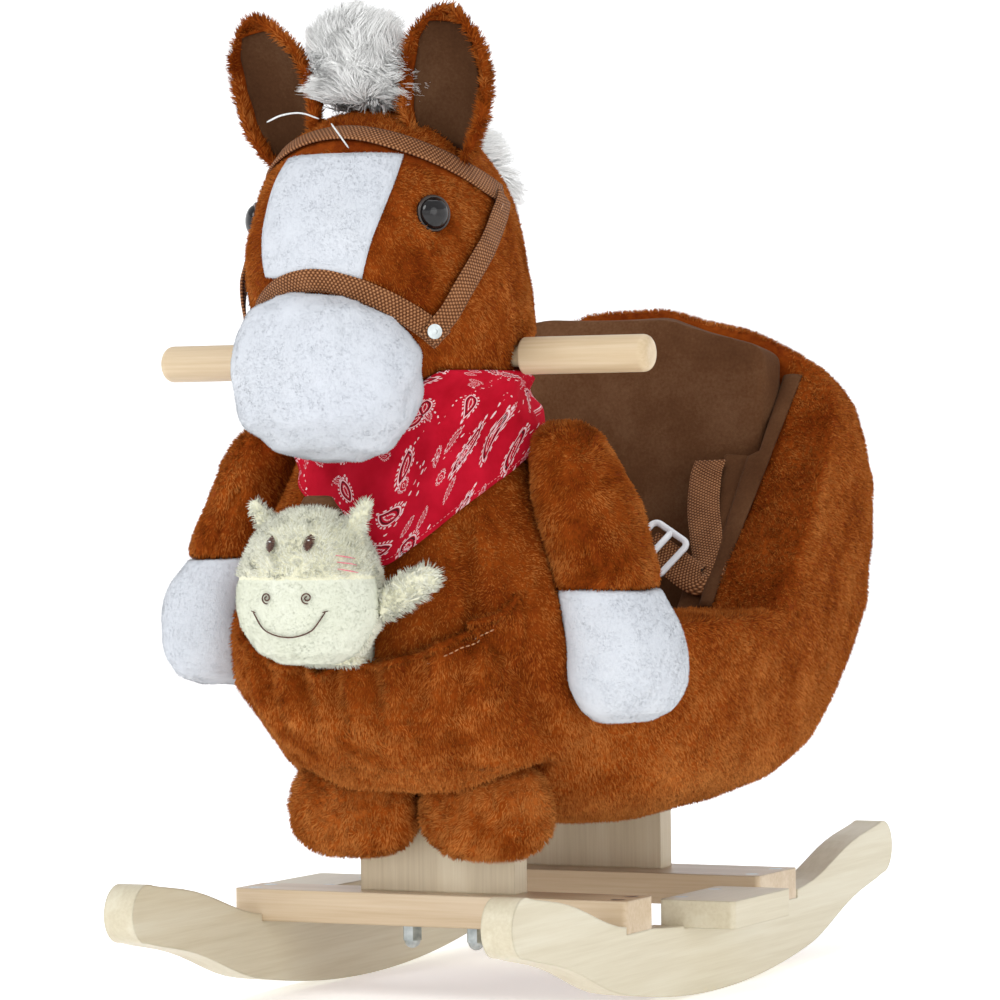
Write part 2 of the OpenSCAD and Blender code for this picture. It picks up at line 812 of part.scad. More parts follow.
// The right arm is sewn on shorter, so its hoof sits a little higher
module short_arm(out = 0) {
    squeeze = (arm_top - cuff_z - right_lift) / (arm_top - cuff_z);
    translate([0, 0, arm_top]) scale([1, 1, squeeze]) translate([0, 0, -arm_top]) form(arm, out);
}

module arm_right() {
    color(plush) mirror([1, 0, 0]) short_arm();
}

module hoof_left() {
    color(white_plush) form(hoof);
}

module hoof_right() {
    color(white_plush) mirror([1, 0, 0]) translate([0, 0, right_lift]) form(hoof);
}

module foot_left() {
    color(plush) form(foot);
}

module foot_right() {
    color(plush) mirror([1, 0, 0]) form(foot);
}

module pocket() {
    low = 142;
    mouth = function (t) let (s = t + 8) 190 + (s > 0 ? 36 * pow(s / 52, 2) : 16 * pow(s / 38, 2));
    color(plush) sheet_on(chest, [for (i = [0:7]) [for (t = [-46:6.5:45])
        [t, low + (mouth(t) - low) * i / 7, skin_gap, 5]]]);
}

module bandana() {
    low = function (t) 245 + 0.85 * abs(t);
    color(red_cloth) sheet_on(chest, [for (i = [0:6]) [for (t = [-100:10:100])
        [t, low(t) + (333 - low(t)) * i / 6, skin_gap, 2]]]);
}

module bandana_knot() {
    color(red_cloth) difference() {
        form([[312, 0, -60, 8, 6, 2], [322, 0, -59, 15, 10, 2], [331, 0, -62, 12, 9, 2],
            [334.5, 0, -63, 6, 5, 2]], sides = 20);
        form(chest, skin_gap);
    }
}

// Lays its children out from p, with +X towards q and +Z towards up
module along_web(p, q, up) {
    e = (q - p) / norm(q - p);
    across_up = up - e * (up * e);
    n = across_up / norm(across_up);
    w = cross(n, e);
    multmatrix([[e.x, w.x, n.x, p.x], [e.y, w.y, n.y, p.y], [e.z, w.z, n.z, p.z], [0, 0, 0, 1]]) children();
}

// A flat length of webbing from p to q
module web(p, q, up) {
    along_web(p, q, up) translate([0, -belt_w / 2, 0]) cube([norm(q - p), belt_w, web_t]);
}

module belt_left() {
    color(webbing) {
        web(belt_top, fold, slope_face);
        web(fold_back, strap_end, slope_face);
    }
}

module belt_right() {
    color(webbing) mirror([1, 0, 0]) {
        web(hang_top, hang_low, [-1, 0, 0]);
        web(tongue_from, tongue_to, [0, 0, 1]);
    }
}

// The buckle continues the free end of the left strap
module belt_buckle() {
    size = [25, 27, 3];
    slot = [8, belt_w + 1.5];
    reach = norm(strap_end - fold_back) + 1 + size[0] / 2;
    color(white_plush) along_web(fold_back, strap_end, slope_face) translate([reach, 0, 0]) difference() {
        plate(size[0], size[1], size[2], 3);
        for (s = [-1, 1]) translate([s * 5.5 - slot[0] / 2, -slot[1] / 2, -1])
            cube([slot[0], slot[1], size[2] + 2]);
    }
}

module pony_body() {
    color(cream) pony_core();
}

module pony_core() {
    translate([pony_x, pony_y, pony_low])
        plate(2 * pony_half[0], 2 * pony_half[1], pony_lip - pony_low, pony_r);
    translate([pony_x, neck_at, pony_lip])
        plate(2 * neck_half[0], 2 * neck_half[1], pony_neck_top - pony_lip, pony_r);
}

module pony_ear(side) {
    hull() {
        translate([pony_x + side * 22, -236, 262]) sphere(7, $fn = 16);
        translate([pony_x + side * 34, -238, 280]) sphere(3, $fn = 16);
    }
}

module pony_head() {
    color(cream) difference() {
        union() {
            form(pony_skull, sides = 24);
            for (side = [-1, 1]) pony_ear(side);
        }
        pony_core();
    }
}

module pony_mane() {
    color(suede) difference() {
        form([[262, -12, -233, 9, 7, 2], [272, -12, -229, 16, 9, 2], [284, -12, -228, 8, 5, 2]], sides = 16);
        form(pony_skull, skin_gap, sides = 24);
        for (side = [-1, 1]) pony_ear(side);
    }
}

module pony_arm() {
    color(cream) difference() {
        hull() {
            translate([18, -230, 222]) sphere(9, $fn = 16);
            translate([52, -228, 240]) sphere(7, $fn = 16);
        }
        form(pony_skull, skin_gap, sides = 24);
        pony_core();
    }
}

rocker_left();
rocker_right();
front_cross_slat();
rear_cross_board();
footrest_left();
footrest_right();
front_post();
rear_post();
seat_board();
back_board();
neck_board();
handle_grips();
handle_rod();
post_bolts();
barrel_nuts();
post_washers();
cap_nuts();
rocker_screws();
footrest_screws();
board_screws();
body_brackets();
bracket_screws();
body_plush();
rump_plush();
seat_side_left();
seat_side_right();
seat_cushion();
backrest_pad();
wing_pad_left();
wing_pad_right();
head();
muzzle();
blaze();
eyes();
ear_left();
ear_right();
ear_linings();
forelock();
neck_mane();
arm_left();
arm_right();
hoof_left();
hoof_right();
foot_left();
foot_right();
tail();
pocket();
browband();
noseband();
cheek_straps();
halter_rivets();
bandana();
bandana_knot();
belt_left();
belt_right();
belt_buckle();
pony_head();
pony_body();
pony_mane();
pony_arm();
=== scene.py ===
import math

import bmesh
import bpy
import numpy as np
from mathutils import Matrix, Vector
from mathutils.bvhtree import BVHTree


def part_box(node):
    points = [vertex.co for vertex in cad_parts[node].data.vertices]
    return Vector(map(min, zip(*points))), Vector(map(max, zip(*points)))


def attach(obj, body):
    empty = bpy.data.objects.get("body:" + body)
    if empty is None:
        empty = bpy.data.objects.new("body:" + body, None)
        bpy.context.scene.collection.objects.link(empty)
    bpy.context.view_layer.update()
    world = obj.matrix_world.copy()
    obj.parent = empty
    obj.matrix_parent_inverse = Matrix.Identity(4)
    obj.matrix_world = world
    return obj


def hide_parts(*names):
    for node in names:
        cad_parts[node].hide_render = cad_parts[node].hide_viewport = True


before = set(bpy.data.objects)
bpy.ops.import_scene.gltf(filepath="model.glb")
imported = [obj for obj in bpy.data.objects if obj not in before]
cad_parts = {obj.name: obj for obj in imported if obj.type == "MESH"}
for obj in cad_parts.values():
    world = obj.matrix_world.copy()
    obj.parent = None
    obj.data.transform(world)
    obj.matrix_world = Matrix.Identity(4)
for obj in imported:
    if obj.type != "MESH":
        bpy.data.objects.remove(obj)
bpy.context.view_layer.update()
MM = 0.001
SIDES = ((1, "left"), (-1, "right"))


def round_steps(count):
    """Evenly spaced angles once round a circle."""
    return np.linspace(0, 2 * math.pi, count, False)


# ---------------------------------------------------------------- camera, light and floor
def make_camera():
    azimuth, pitch, roll = math.radians(25.9), math.radians(-0.4), math.radians(-0.7)
    focus, distance = Vector((-0.0149, 0, 0.2796)), 2.567
    back = Vector(
        (math.sin(azimuth) * math.cos(pitch), -math.cos(azimuth) * math.cos(pitch), -math.sin(pitch))
    )
    right = Vector((math.cos(azimuth), math.sin(azimuth), 0))
    up = back.cross(right)
    tilted_right = right * math.cos(roll) + up * math.sin(roll)
    tilted_up = up * math.cos(roll) - right * math.sin(roll)
    lens = bpy.data.cameras.new("photo_camera")
    lens.lens, lens.sensor_width = 158.4, 36
    lens.clip_start, lens.clip_end = 0.1, 60
    camera = bpy.data.objects.new("photo_camera", lens)
    bpy.context.scene.collection.objects.link(camera)
    place = focus + back * distance
    rows = [(tilted_right[i], tilted_up[i], back[i], place[i]) for i in range(3)]
    camera.matrix_world = Matrix([*rows, (0, 0, 0, 1)])
    bpy.context.scene.camera = camera


def area_light(name, place, aim, size, power):
    data = bpy.data.lights.new(name, "AREA")
    data.shape, data.size, data.energy = "DISK", size, power
    lamp = bpy.data.objects.new(name, data)
    bpy.context.scene.collection.objects.link(lamp)
    lamp.location = place
    lamp.rotation_euler = (Vector(aim) - Vector(place)).to_track_quat("-Z", "Y").to_euler()


def make_studio():
    scene = bpy.context.scene
    scene.view_settings.view_transform = "Standard"
    world = bpy.data.worlds.new("studio")
    world.use_nodes = True
    sky = world.node_tree.nodes["Background"]
    sky.inputs["Color"].default_value = (0.97, 0.98, 1, 1)
    sky.inputs["Strength"].default_value = 0.62
    scene.world = world
    area_light("key", (-0.9, -2.6, 2.4), (0, 0, 0.25), 1.6, 33)
    area_light("fill", (2.8, -1.8, 1.2), (0, 0, 0.25), 2.0, 13)
    area_light("top", (0.2, 0.6, 3.0), (0, 0, 0.2), 2.2, 17)


def make_floor():
    """A wide pale floor that curls up far away, so that no edge of it shows."""
    flat, reach, curl, sides = 4.5, 7.5, 3.0, 96
    rings = [(flat * i / 3, 0) for i in (1, 2, 3)]
    rings += [
        (
            flat + (reach - flat) * math.sin(a), curl * (1 - math.cos(a))
        ) for a in np.linspace(0.1, math.pi / 2, 14)
    ]
    verts = [(0, 0, -0.0002)]
    for r, z in rings:
        verts += [(r * math.cos(t), r * math.sin(t), z - 0.0002) for t in round_steps(sides)]
    faces = [(0, 1 + j, 1 + (j + 1) % sides) for j in range(sides)]
    for i in range(len(rings) - 1):
        a, b = 1 + i * sides, 1 + (i + 1) * sides
        faces += [(a + j, b + j, b + (j + 1) % sides, a + (j + 1) % sides) for j in range(sides)]
    shade = Shade("studio_floor", 0.9)
    shade.colour(shade.mix(shade.noise(3, 2), (0.93, 0.93, 0.93), (0.97, 0.97, 0.97)))
    shade.bsdf.inputs["Emission Color"].default_value = (1, 1, 1, 1)
    shade.bsdf.inputs["Emission Strength"].default_value = 0.42
    floor = poly("studio_floor", verts, faces)
    floor.data.materials.append(shade.mat)


# ---------------------------------------------------------------- materials
class Shade:
    """A small builder for one procedural material."""

    def __init__(self, name, rough, **sockets):
        self.mat = bpy.data.materials.new(name)
        self.mat.use_nodes = True
        self.tree = self.mat.node_tree
        self.bsdf = self.tree.nodes["Principled BSDF"]
        self.bsdf.inputs["Roughness"].default_value = rough
        for socket, value in sockets.items():
            self.bsdf.inputs[socket.replace("_", " ")].default_value = value
        self.place = self.add("ShaderNodeTexCoord").outputs["Object"]

    def add(self, kind, inputs=None, **settings):
        made = self.tree.nodes.new(kind)
        for key, value in settings.items():
            setattr(made, key, value)
        for key, value in (inputs or {}).items():
            if isinstance(value, bpy.types.NodeSocket):
                self.tree.links.new(value, made.inputs[key])
            else:
                made.inputs[key].default_value = value
        return made

    def stretched(self, x, y, z):
        return self.add("ShaderNodeMapping", {"Vector": self.place, "Scale": (x, y, z)}).outputs[0]

    def noise(self, scale, detail=2, at=None, rough=0.55):
        inputs = {"Vector": at or self.place, "Scale": scale, "Detail": detail, "Roughness": rough}
        return self.add("ShaderNodeTexNoise", inputs).outputs[0]

    def value(self, kind, a, b=0.0, c=0.0):
        return self.add("ShaderNodeMath", {0: a, 1: b, 2: c}, operation=kind).outputs[0]

    def xyz(self, place):
        return self.add("ShaderNodeSeparateXYZ", {0: place}).outputs

    def vector(self, kind, a, b):
        return self.add("ShaderNodeVectorMath", {0: a, 1: b}, operation=kind).outputs[0]

    def weave(self):
        """The place on a strip or sheet in its own coordinates, in metres."""
        return self.add("ShaderNodeUVMap", uv_map="weave").outputs[0]

    def ramp(self, factor, *stops):
        made = self.add("ShaderNodeValToRGB", {"Fac": factor})
        marks = made.color_ramp.elements
        while len(marks) < len(stops):
            marks.new(0.5)
        for mark, (at, colour) in zip(marks, stops):
            mark.position, mark.color = at, (*colour, 1)
        return made.outputs[0]

    def band(self, factor, low, high):
        """0 below low, 1 above high, smooth between."""
        inputs = {"Value": factor, "From Min": low, "From Max": high}
        return self.add("ShaderNodeMapRange", inputs, interpolation_type="SMOOTHSTEP").outputs[0]

    def mix(self, factor, a, b):
        made = self.add("ShaderNodeMix", data_type="RGBA")
        for index, value in ((0, factor), (6, a), (7, b)):
            if isinstance(value, bpy.types.NodeSocket):
                self.tree.links.new(value, made.inputs[index])
            else:
                made.inputs[index].default_value = value if index == 0 else (*value, 1)
        return made.outputs[2]

    def attribute(self, name):
        return self.add("ShaderNodeAttribute", attribute_name=name).outputs["Fac"]

    def colour(self, socket):
        self.tree.links.new(socket, self.bsdf.inputs["Base Color"])

    def rough(self, socket):
        self.tree.links.new(socket, self.bsdf.inputs["Roughness"])

    def bump(self, height, distance, strength=1.0, under=None):
        inputs = {"Height": height, "Distance": distance, "Strength": strength}
        if under is not None:
            inputs["Normal"] = under
        made = self.add("ShaderNodeBump", inputs).outputs[0]
        self.tree.links.new(made, self.bsdf.inputs["Normal"])
        return made


def pile_material(name, dark, mid, light, sheen, root, belly_painted_light=0.0):
    """Plush pile. root tints the foot of each tuft darker, which is painted shade between the tufts, and
    belly_painted_light is how much painted light makes the belly paler.
    """
    s = Shade(
        name, 0.9, Sheen_Weight=sheen, Sheen_Roughness=0.45, Sheen_Tint=(*light, 1),
        Specular_IOR_Level=0.05
    )
    tone = s.value("MULTIPLY_ADD", s.attribute("tone"), 0.5, s.value("MULTIPLY", s.noise(240, 2), 0.35))
    level = s.value("MULTIPLY_ADD", s.noise(30, 3), 0.45, s.value("MULTIPLY_ADD", tone, 0.62, 0.05))
    # Painted light: parts lower than about 0.2 m are made paler, as if lit from below.
    belly = s.band(s.xyz(s.place)[2], 0.2, 0.1)
    level = s.value("MULTIPLY_ADD", belly, belly_painted_light, level)
    body = s.ramp(level, (0.28, dark), (0.5, mid), (0.78, light))
    # Painted shade: the foot of each tuft, and all of a bare skin without tufts, take the darker root tint.
    tinted = s.add("ShaderNodeMix", data_type="RGBA", blend_type="MULTIPLY")
    tinted.inputs[0].default_value = 1
    s.tree.links.new(body, tinted.inputs[6])
    s.tree.links.new(s.mix(s.band(s.attribute("tip"), -0.1, 0.8), root, (1, 1, 1)), tinted.inputs[7])
    s.colour(tinted.outputs[2])
    s.bump(s.noise(900, 2), 0.0008, 0.5, s.bump(s.noise(170, 3), 0.002, 0.55))
    return s.mat


def velboa_material(name, low, high, tint):
    s = Shade(
        name, 0.8, Sheen_Weight=0.25, Sheen_Roughness=0.4, Sheen_Tint=(*high, 1), Specular_IOR_Level=0.2
    )
    mottle = s.value("MULTIPLY_ADD", s.noise(35, 3), 0.6, s.value("MULTIPLY", s.noise(420, 2), 0.4))
    s.colour(s.mix(s.band(s.noise(9, 2), 0.35, 0.7), s.ramp(mottle, (0.3, low), (0.65, high)), tint))
    s.bump(s.noise(1400, 1), 0.0004, 0.3, s.bump(s.noise(120, 3), 0.0012, 0.4))
    return s.mat


def suede_material(name, share):
    """Brushed microsuede. share scales its colour; the darker copy used inside the ears is painted shade.
    """
    s = Shade(
        name, 0.85, Sheen_Weight=0.12, Sheen_Roughness=0.35, Sheen_Tint=(0.5, 0.36, 0.26, 1),
        Specular_IOR_Level=0.06
    )
    brushed = s.value(
        "MULTIPLY_ADD", s.noise(14, 4, rough=0.6), 0.75, s.value("MULTIPLY", s.noise(600, 2), 0.25)
    )
    tones = [(0.3, (0.065, 0.024, 0.009)), (0.52, (0.11, 0.047, 0.02)), (0.75, (0.18, 0.09, 0.045))]
    s.colour(s.ramp(brushed, *[(at, [share * c for c in colour]) for at, colour in tones]))
    s.bump(s.noise(1500, 2), 0.0004, 0.5, s.bump(s.noise(60, 3), 0.0015, 0.35))
    return s.mat


def fibre_material(name, low, high):
    s = Shade(name, 0.55, Sheen_Weight=0.2, Specular_IOR_Level=0.35)
    level = s.value("MULTIPLY_ADD", s.attribute("tone"), 0.6, s.value("MULTIPLY", s.attribute("tip"), 0.4))
    s.colour(s.mix(s.noise(50, 2), s.ramp(level, (0.0, low), (0.55, high)), high))
    s.bump(s.noise(2500, 1), 0.0002, 0.3)
    return s.mat


def webbing_material():
    """A plain weave in the strip's own coordinates: u across and v along, in metres."""
    s = Shade("tan_webbing", 0.72, Sheen_Weight=0.05, Specular_IOR_Level=0.12)
    u, v, _ = s.xyz(s.weave())
    pitch_u, pitch_v = 0.0016, 0.0022
    column = s.value("DIVIDE", u, pitch_u)
    phase = s.value("MULTIPLY", s.value("FLOOR", column), math.pi)
    along = s.value("MULTIPLY_ADD", v, 2 * math.pi / pitch_v, phase)
    over = s.value("MULTIPLY_ADD", s.value("SINE", along), 0.5, 0.5)
    rib = s.value("ABSOLUTE", s.value("SINE", s.value("MULTIPLY", column, math.pi)))
    height = s.value("MULTIPLY", over, s.value("POWER", rib, 0.5))
    # Colour: darker in the dips between the threads, which is painted shade, plus random mottling.
    weave_shade_and_mottle = s.value("MULTIPLY_ADD", s.noise(90, 3), 0.35, s.value("MULTIPLY", height, 0.75))
    s.colour(
        s.ramp(weave_shade_and_mottle, (0.2, (0.09, 0.03, 0.009)), (0.5, (0.24, 0.088, 0.03)), (0.85, (0.46, 0.22, 0.1)))
    )
    s.bump(height, 0.0006, 0.9)
    return s.mat


def bandana_material():
    """Red cotton with a generic print: rings of dashes round leaves, flowers and dotted arcs."""
    s = Shade("red_print", 0.85, Specular_IOR_Level=0.06)
    cloth = s.weave()

    def motif(scale, size, shift, share):
        moved = s.vector("ADD", cloth, (shift, shift * 0.6, 0))
        cells = s.add(
            "ShaderNodeTexVoronoi", {"Vector": moved, "Scale": scale, "Randomness": 0.75},
            voronoi_dimensions="2D"
        )
        scaled = s.vector("MULTIPLY", moved, (scale, scale, 1))
        centre = s.vector("MULTIPLY", cells.outputs["Position"], (scale, scale, 1))
        local = s.vector("SUBTRACT", scaled, centre)
        pick = s.add("ShaderNodeSeparateColor", {0: cells.outputs["Color"]})
        turn = s.value("MULTIPLY", pick.outputs[0], 2 * math.pi)
        turned = s.add(
            "ShaderNodeVectorRotate", {"Vector": local, "Angle": turn}, rotation_type="Z_AXIS"
        ).outputs[0]
        x, y, _ = s.xyz(turned)
        bulge = s.value("MULTIPLY_ADD", y, 0.35, 1.0)
        wide = s.value("DIVIDE", s.value("ABSOLUTE", x), bulge)
        leaf = s.add("ShaderNodeCombineXYZ", {0: s.value("ADD", wide, size * 0.75), 1: y}).outputs[0]
        length = s.add("ShaderNodeVectorMath", {0: leaf}, operation="LENGTH").outputs["Value"]
        edge = s.value("SUBTRACT", length, size * 1.25)
        around = s.value("SINE", s.value("MULTIPLY", s.value("ARCTAN2", y, x), 15))
        shown = s.value("GREATER_THAN", pick.outputs[1], 1 - share)

        def line(at, half):
            gap = s.value("ABSOLUTE", s.value("SUBTRACT", edge, at))
            return s.value("SUBTRACT", 1, s.band(gap, half * 0.6, half))

        dashes = s.value("MULTIPLY", line(size * 0.16, size * 0.09), s.value("GREATER_THAN", around, 0.15))
        seed = s.value("MULTIPLY", line(-size * 0.34, size * 0.05), s.value("GREATER_THAN", around, -0.6))
        white = s.value("MAXIMUM", s.value("MAXIMUM", line(0.0, size * 0.05), dashes), seed)
        black = line(-size * 0.14, size * 0.06)
        return s.value("MULTIPLY", white, shown), s.value("MULTIPLY", black, shown)

    big_white, big_black = motif(46, 0.34, 0.013, 0.62)
    small_white, _ = motif(83, 0.3, 0.031, 0.36)
    dots = s.add(
        "ShaderNodeTexVoronoi", {"Vector": cloth, "Scale": 260, "Randomness": 0.35},
        voronoi_dimensions="2D"
    )
    lanes = s.value("ABSOLUTE", s.value("SUBTRACT", s.noise(34, 1, cloth), 0.56))
    dot = s.value(
        "MULTIPLY", s.value("LESS_THAN", dots.outputs["Distance"], 0.22),
        s.value("LESS_THAN", lanes, 0.014)
    )
    white = s.value("MAXIMUM", s.value("MAXIMUM", big_white, dot), s.value("MULTIPLY", small_white, 0.9))
    red = s.ramp(s.noise(60, 3), (0.3, (0.42, 0.004, 0.016)), (0.7, (0.58, 0.009, 0.03)))
    inked = s.mix(s.value("MULTIPLY", big_black, 0.85), red, (0.02, 0.008, 0.012))
    s.colour(s.mix(s.value("MULTIPLY", white, 0.85), inked, (0.85, 0.72, 0.74)))
    u, v, _ = s.xyz(cloth)
    thread_pitch = 0.0007
    warp, weft = (s.value("SINE", s.value("MULTIPLY", at, 2 * math.pi / thread_pitch)) for at in (u, v))
    s.bump(s.value("MULTIPLY", warp, weft), 0.0002, 0.35)
    return s.mat


def wood_material(name, low, mid, high, grain_axis, raw=1.0):
    """Clear lacquered wood whose grain runs along one axis, 0 for X, 1 for Y, 2 for Z."""
    s = Shade(name, 0.42, Coat_Weight=0.15, Coat_Roughness=0.25, Specular_IOR_Level=0.4)
    along, across = 2.2, 34
    scale = [along if i == grain_axis else across for i in range(3)]
    rings = s.noise(1.0, 3, s.stretched(*scale), 0.6)
    fine = s.noise(1.0, 4, s.stretched(*[14 if i == grain_axis else 520 for i in range(3)]), 0.65)
    pores = s.noise(1.0, 2, s.stretched(*[55 if i == grain_axis else 1900 for i in range(3)]), 0.5)
    waves = s.value("SINE", s.value("MULTIPLY", rings, 34))
    level = s.value(
        "MULTIPLY_ADD", waves, 0.07 * raw,
        s.value("MULTIPLY_ADD", rings, 0.55, s.value("MULTIPLY", fine, 0.4))
    )
    s.colour(s.ramp(level, (0.3, low), (0.5, mid), (0.72, high)))
    s.rough(s.value("MULTIPLY_ADD", fine, 0.2, 0.32))
    edge = s.add("ShaderNodeBevel", {"Radius": 0.0018}, samples=6).outputs[0]
    s.bump(pores, 0.0002, 0.25, s.bump(fine, 0.0003, 0.25, edge))
    return s.mat


def steel_material():
    s = Shade("zinc_steel", 0.32, Metallic=1.0)
    s.colour(s.ramp(s.noise(160, 3), (0.3, (0.3, 0.33, 0.33)), (0.7, (0.56, 0.6, 0.6))))
    s.rough(s.value("MULTIPLY_ADD", s.noise(500, 2), 0.3, 0.2))
    s.bump(s.noise(900, 2), 0.0002, 0.3)
    return s.mat


def eye_material():
    s = Shade("glossy_eye", 0.05, Coat_Weight=0.25, Coat_Roughness=0.03, IOR=1.38)
    s.colour(s.ramp(s.noise(120, 2), (0.3, (0.003, 0.003, 0.004)), (0.7, (0.012, 0.01, 0.01))))
    s.bump(s.noise(300, 1), 0.00005, 0.05)
    return s.mat


def plain_plastic(name, low, high, rough):
    s = Shade(name, rough, Coat_Weight=0.3, Coat_Roughness=0.15)
    s.colour(s.ramp(s.noise(90, 2), (0.3, low), (0.7, high)))
    s.bump(s.noise(700, 2), 0.0001, 0.2)
    return s.mat


def thread_material(name, low, high):
    s = Shade(name, 0.6, Sheen_Weight=0.3, Specular_IOR_Level=0.3)
    s.colour(s.ramp(s.noise(900, 2), (0.35, low), (0.65, high)))
    s.bump(s.noise(3000, 1), 0.0002, 0.5)
    return s.mat


def make_materials():
    chestnut = ((0.16, 0.025, 0.002), (0.34, 0.074, 0.007), (0.64, 0.225, 0.052))
    cream = ((0.82, 0.82, 0.64), (0.9, 0.9, 0.74), (0.95, 0.95, 0.82))
    return {
        # Painted shade: the root tints darken the feet of the tufts and the bare under skins; 0.14 is
        # painted light that makes the belly paler.
        "brown_under": pile_material("brown_under", *chestnut, 0.08, (0.85, 0.78, 0.7), 0.14),
        "brown_plush": pile_material("brown_plush", *chestnut, 0.12, (0.7, 0.6, 0.52), 0.14),
        "cream_under": pile_material("cream_under", *cream, 0.1, (0.9, 0.88, 0.82)),
        "cream_plush": pile_material("cream_plush", *cream, 0.15, (0.95, 0.94, 0.9)),
        "white_plush": velboa_material(
            "white_plush", (0.56, 0.59, 0.635), (0.63, 0.655, 0.69), (0.6, 0.63, 0.68)
        ),
        "cream_velboa": velboa_material(
            "cream_velboa", (0.62, 0.64, 0.5), (0.72, 0.74, 0.62), (0.7, 0.72, 0.6)
        ),
        "suede": suede_material("taupe_suede", 1.0),
        # Painted shade: the ear lining is the same suede darkened to 0.62.
        "lining": suede_material("ear_suede_painted_shade", 0.62),
        "mane": fibre_material("white_mane", (0.9, 0.91, 0.88), (0.97, 0.97, 0.95)),
        "webbing": webbing_material(),
        "bandana": bandana_material(),
        "steel": steel_material(),
        "eye": eye_material(),
        "eye_rim": plain_plastic("eye_rim", (0.012, 0.006, 0.004), (0.03, 0.016, 0.01), 0.3),
        "buckle": plain_plastic("white_plastic", (0.78, 0.8, 0.84), (0.88, 0.89, 0.91), 0.25),
        "brown_thread": thread_material("brown_thread", (0.045, 0.014, 0.006), (0.11, 0.04, 0.02)),
        "tan_thread": thread_material("tan_thread", (0.32, 0.13, 0.05), (0.55, 0.28, 0.12)),
        "white_thread": thread_material("white_thread", (0.6, 0.62, 0.62), (0.85, 0.86, 0.86)),
        "pink_thread": thread_material("pink_thread", (0.6, 0.12, 0.16), (0.75, 0.28, 0.3)),
        "wood_y": wood_material(
            "pale_wood_y", (0.54, 0.47, 0.32), (0.63, 0.57, 0.42), (0.7, 0.66, 0.52), 1, 0.5
        ),
        "wood_x": wood_material(
            "pale_wood_x", (0.47, 0.34, 0.2), (0.58, 0.45, 0.3), (0.68, 0.56, 0.41), 0, 0.5
        ),
        "wood_z": wood_material(
            "pale_wood_z", (0.56, 0.46, 0.31), (0.68, 0.58, 0.41), (0.78, 0.7, 0.53), 2, 0.4
        ),
        "wood_grip": wood_material(
            "grip_wood", (0.56, 0.42, 0.25), (0.67, 0.53, 0.35), (0.75, 0.63, 0.46), 0, 0.4
        ),
        "ply": wood_material("plywood", (0.4, 0.3, 0.18), (0.55, 0.43, 0.28), (0.66, 0.54, 0.37), 2),
    }


# ---------------------------------------------------------------- mesh tools
def link(name, mesh):
    obj = bpy.data.objects.new(name, mesh)
    bpy.context.scene.collection.objects.link(obj)
    return obj


def poly(name, verts, faces):
    mesh = bpy.data.meshes.new(name)
    mesh.from_pydata([tuple(v) for v in verts], [], faces)
    outward = bmesh.new()
    outward.from_mesh(mesh)
    bmesh.ops.recalc_face_normals(outward, faces=outward.faces)
    outward.to_mesh(mesh)
    outward.free()
    mesh.shade_smooth()
    return link(name, mesh)


def tri_mesh(name, verts, tris):
    """A mesh from arrays of points and triangles."""
    mesh = bpy.data.meshes.new(name)
    mesh.vertices.add(len(verts))
    mesh.vertices.foreach_set("co", np.asarray(verts, np.float32).ravel())
    mesh.loops.add(3 * len(tris))
    mesh.loops.foreach_set("vertex_index", np.asarray(tris, np.int32).ravel())
    mesh.polygons.add(len(tris))
    mesh.polygons.foreach_set("loop_start", np.arange(0, 3 * len(tris), 3, dtype=np.int32))
    mesh.update(calc_edges=True)
    mesh.shade_smooth()
    return link(name, mesh)


def points(obj):
    co = np.empty(3 * len(obj.data.vertices), np.float32)
    obj.data.vertices.foreach_get("co", co)
    return co.reshape(-1, 3)


def normals(obj):
    n = np.empty(3 * len(obj.data.vertices), np.float32)
    obj.data.vertices.foreach_get("normal", n)
    return n.reshape(-1, 3)


def triangles(obj):
    obj.data.calc_loop_triangles()
    t = np.empty(3 * len(obj.data.loop_triangles), np.int32)
    obj.data.loop_triangles.foreach_get("vertices", t)
    return t.reshape(-1, 3)


def move_points(obj, co):
    obj.data.vertices.foreach_set("co", np.asarray(co, np.float32).ravel())
    obj.data.update()


def unit(v):
    return v / np.maximum(np.linalg.norm(v, axis=-1, keepdims=True), 1e-9)


def ease(x, low, high):
    t = np.clip((x - low) / (high - low), 0, 1)
    return t * t * (3 - 2 * t)


def sway_field(p, size, seed):
    """A smooth random vector for each point, whose pattern repeats over about size metres."""
    rng = np.random.default_rng(seed)
    total = np.zeros_like(p)
    for _ in range(14):
        wave = unit(rng.normal(size=3)) * 2 * math.pi / (size * rng.uniform(0.6, 1.6))
        total += np.sin(p @ wave.astype(p.dtype) + rng.uniform(0, 6.28))[:, None] * rng.normal(size=3)
    return total / math.sqrt(14 / 2)


def bake_modifiers(obj):
    """Replaces a mesh by what its modifiers make of it."""
    made = bpy.data.meshes.new_from_object(obj.evaluated_get(bpy.context.evaluated_depsgraph_get()))
    old = obj.data
    obj.modifiers.clear()
    obj.data = made
    bpy.data.meshes.remove(old)
    made.shade_smooth()


def merged(objects):
    """The points and triangles of several meshes as one."""
    verts, tris, count = [], [], 0
    for obj in objects:
        co = points(obj)
        verts.append(co)
        tris.append(triangles(obj) + count)
        count += len(co)
    return np.vstack(verts), np.vstack(tris)


def nodes_named(names):
    return [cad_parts[n] for n in names]


def skin_over(name, nodes, voxel, rounds):
    """One closed smooth skin over some CAD nodes, which it replaces."""
    obj = tri_mesh(name, *merged(nodes_named(nodes)))
    remesh = obj.modifiers.new("remesh", "REMESH")
    remesh.mode, remesh.voxel_size = "VOXEL", voxel
    smooth = obj.modifiers.new("smooth", "SMOOTH")
    smooth.factor, smooth.iterations = 0.5, rounds
    bake_modifiers(obj)
    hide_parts(*nodes)
    return obj


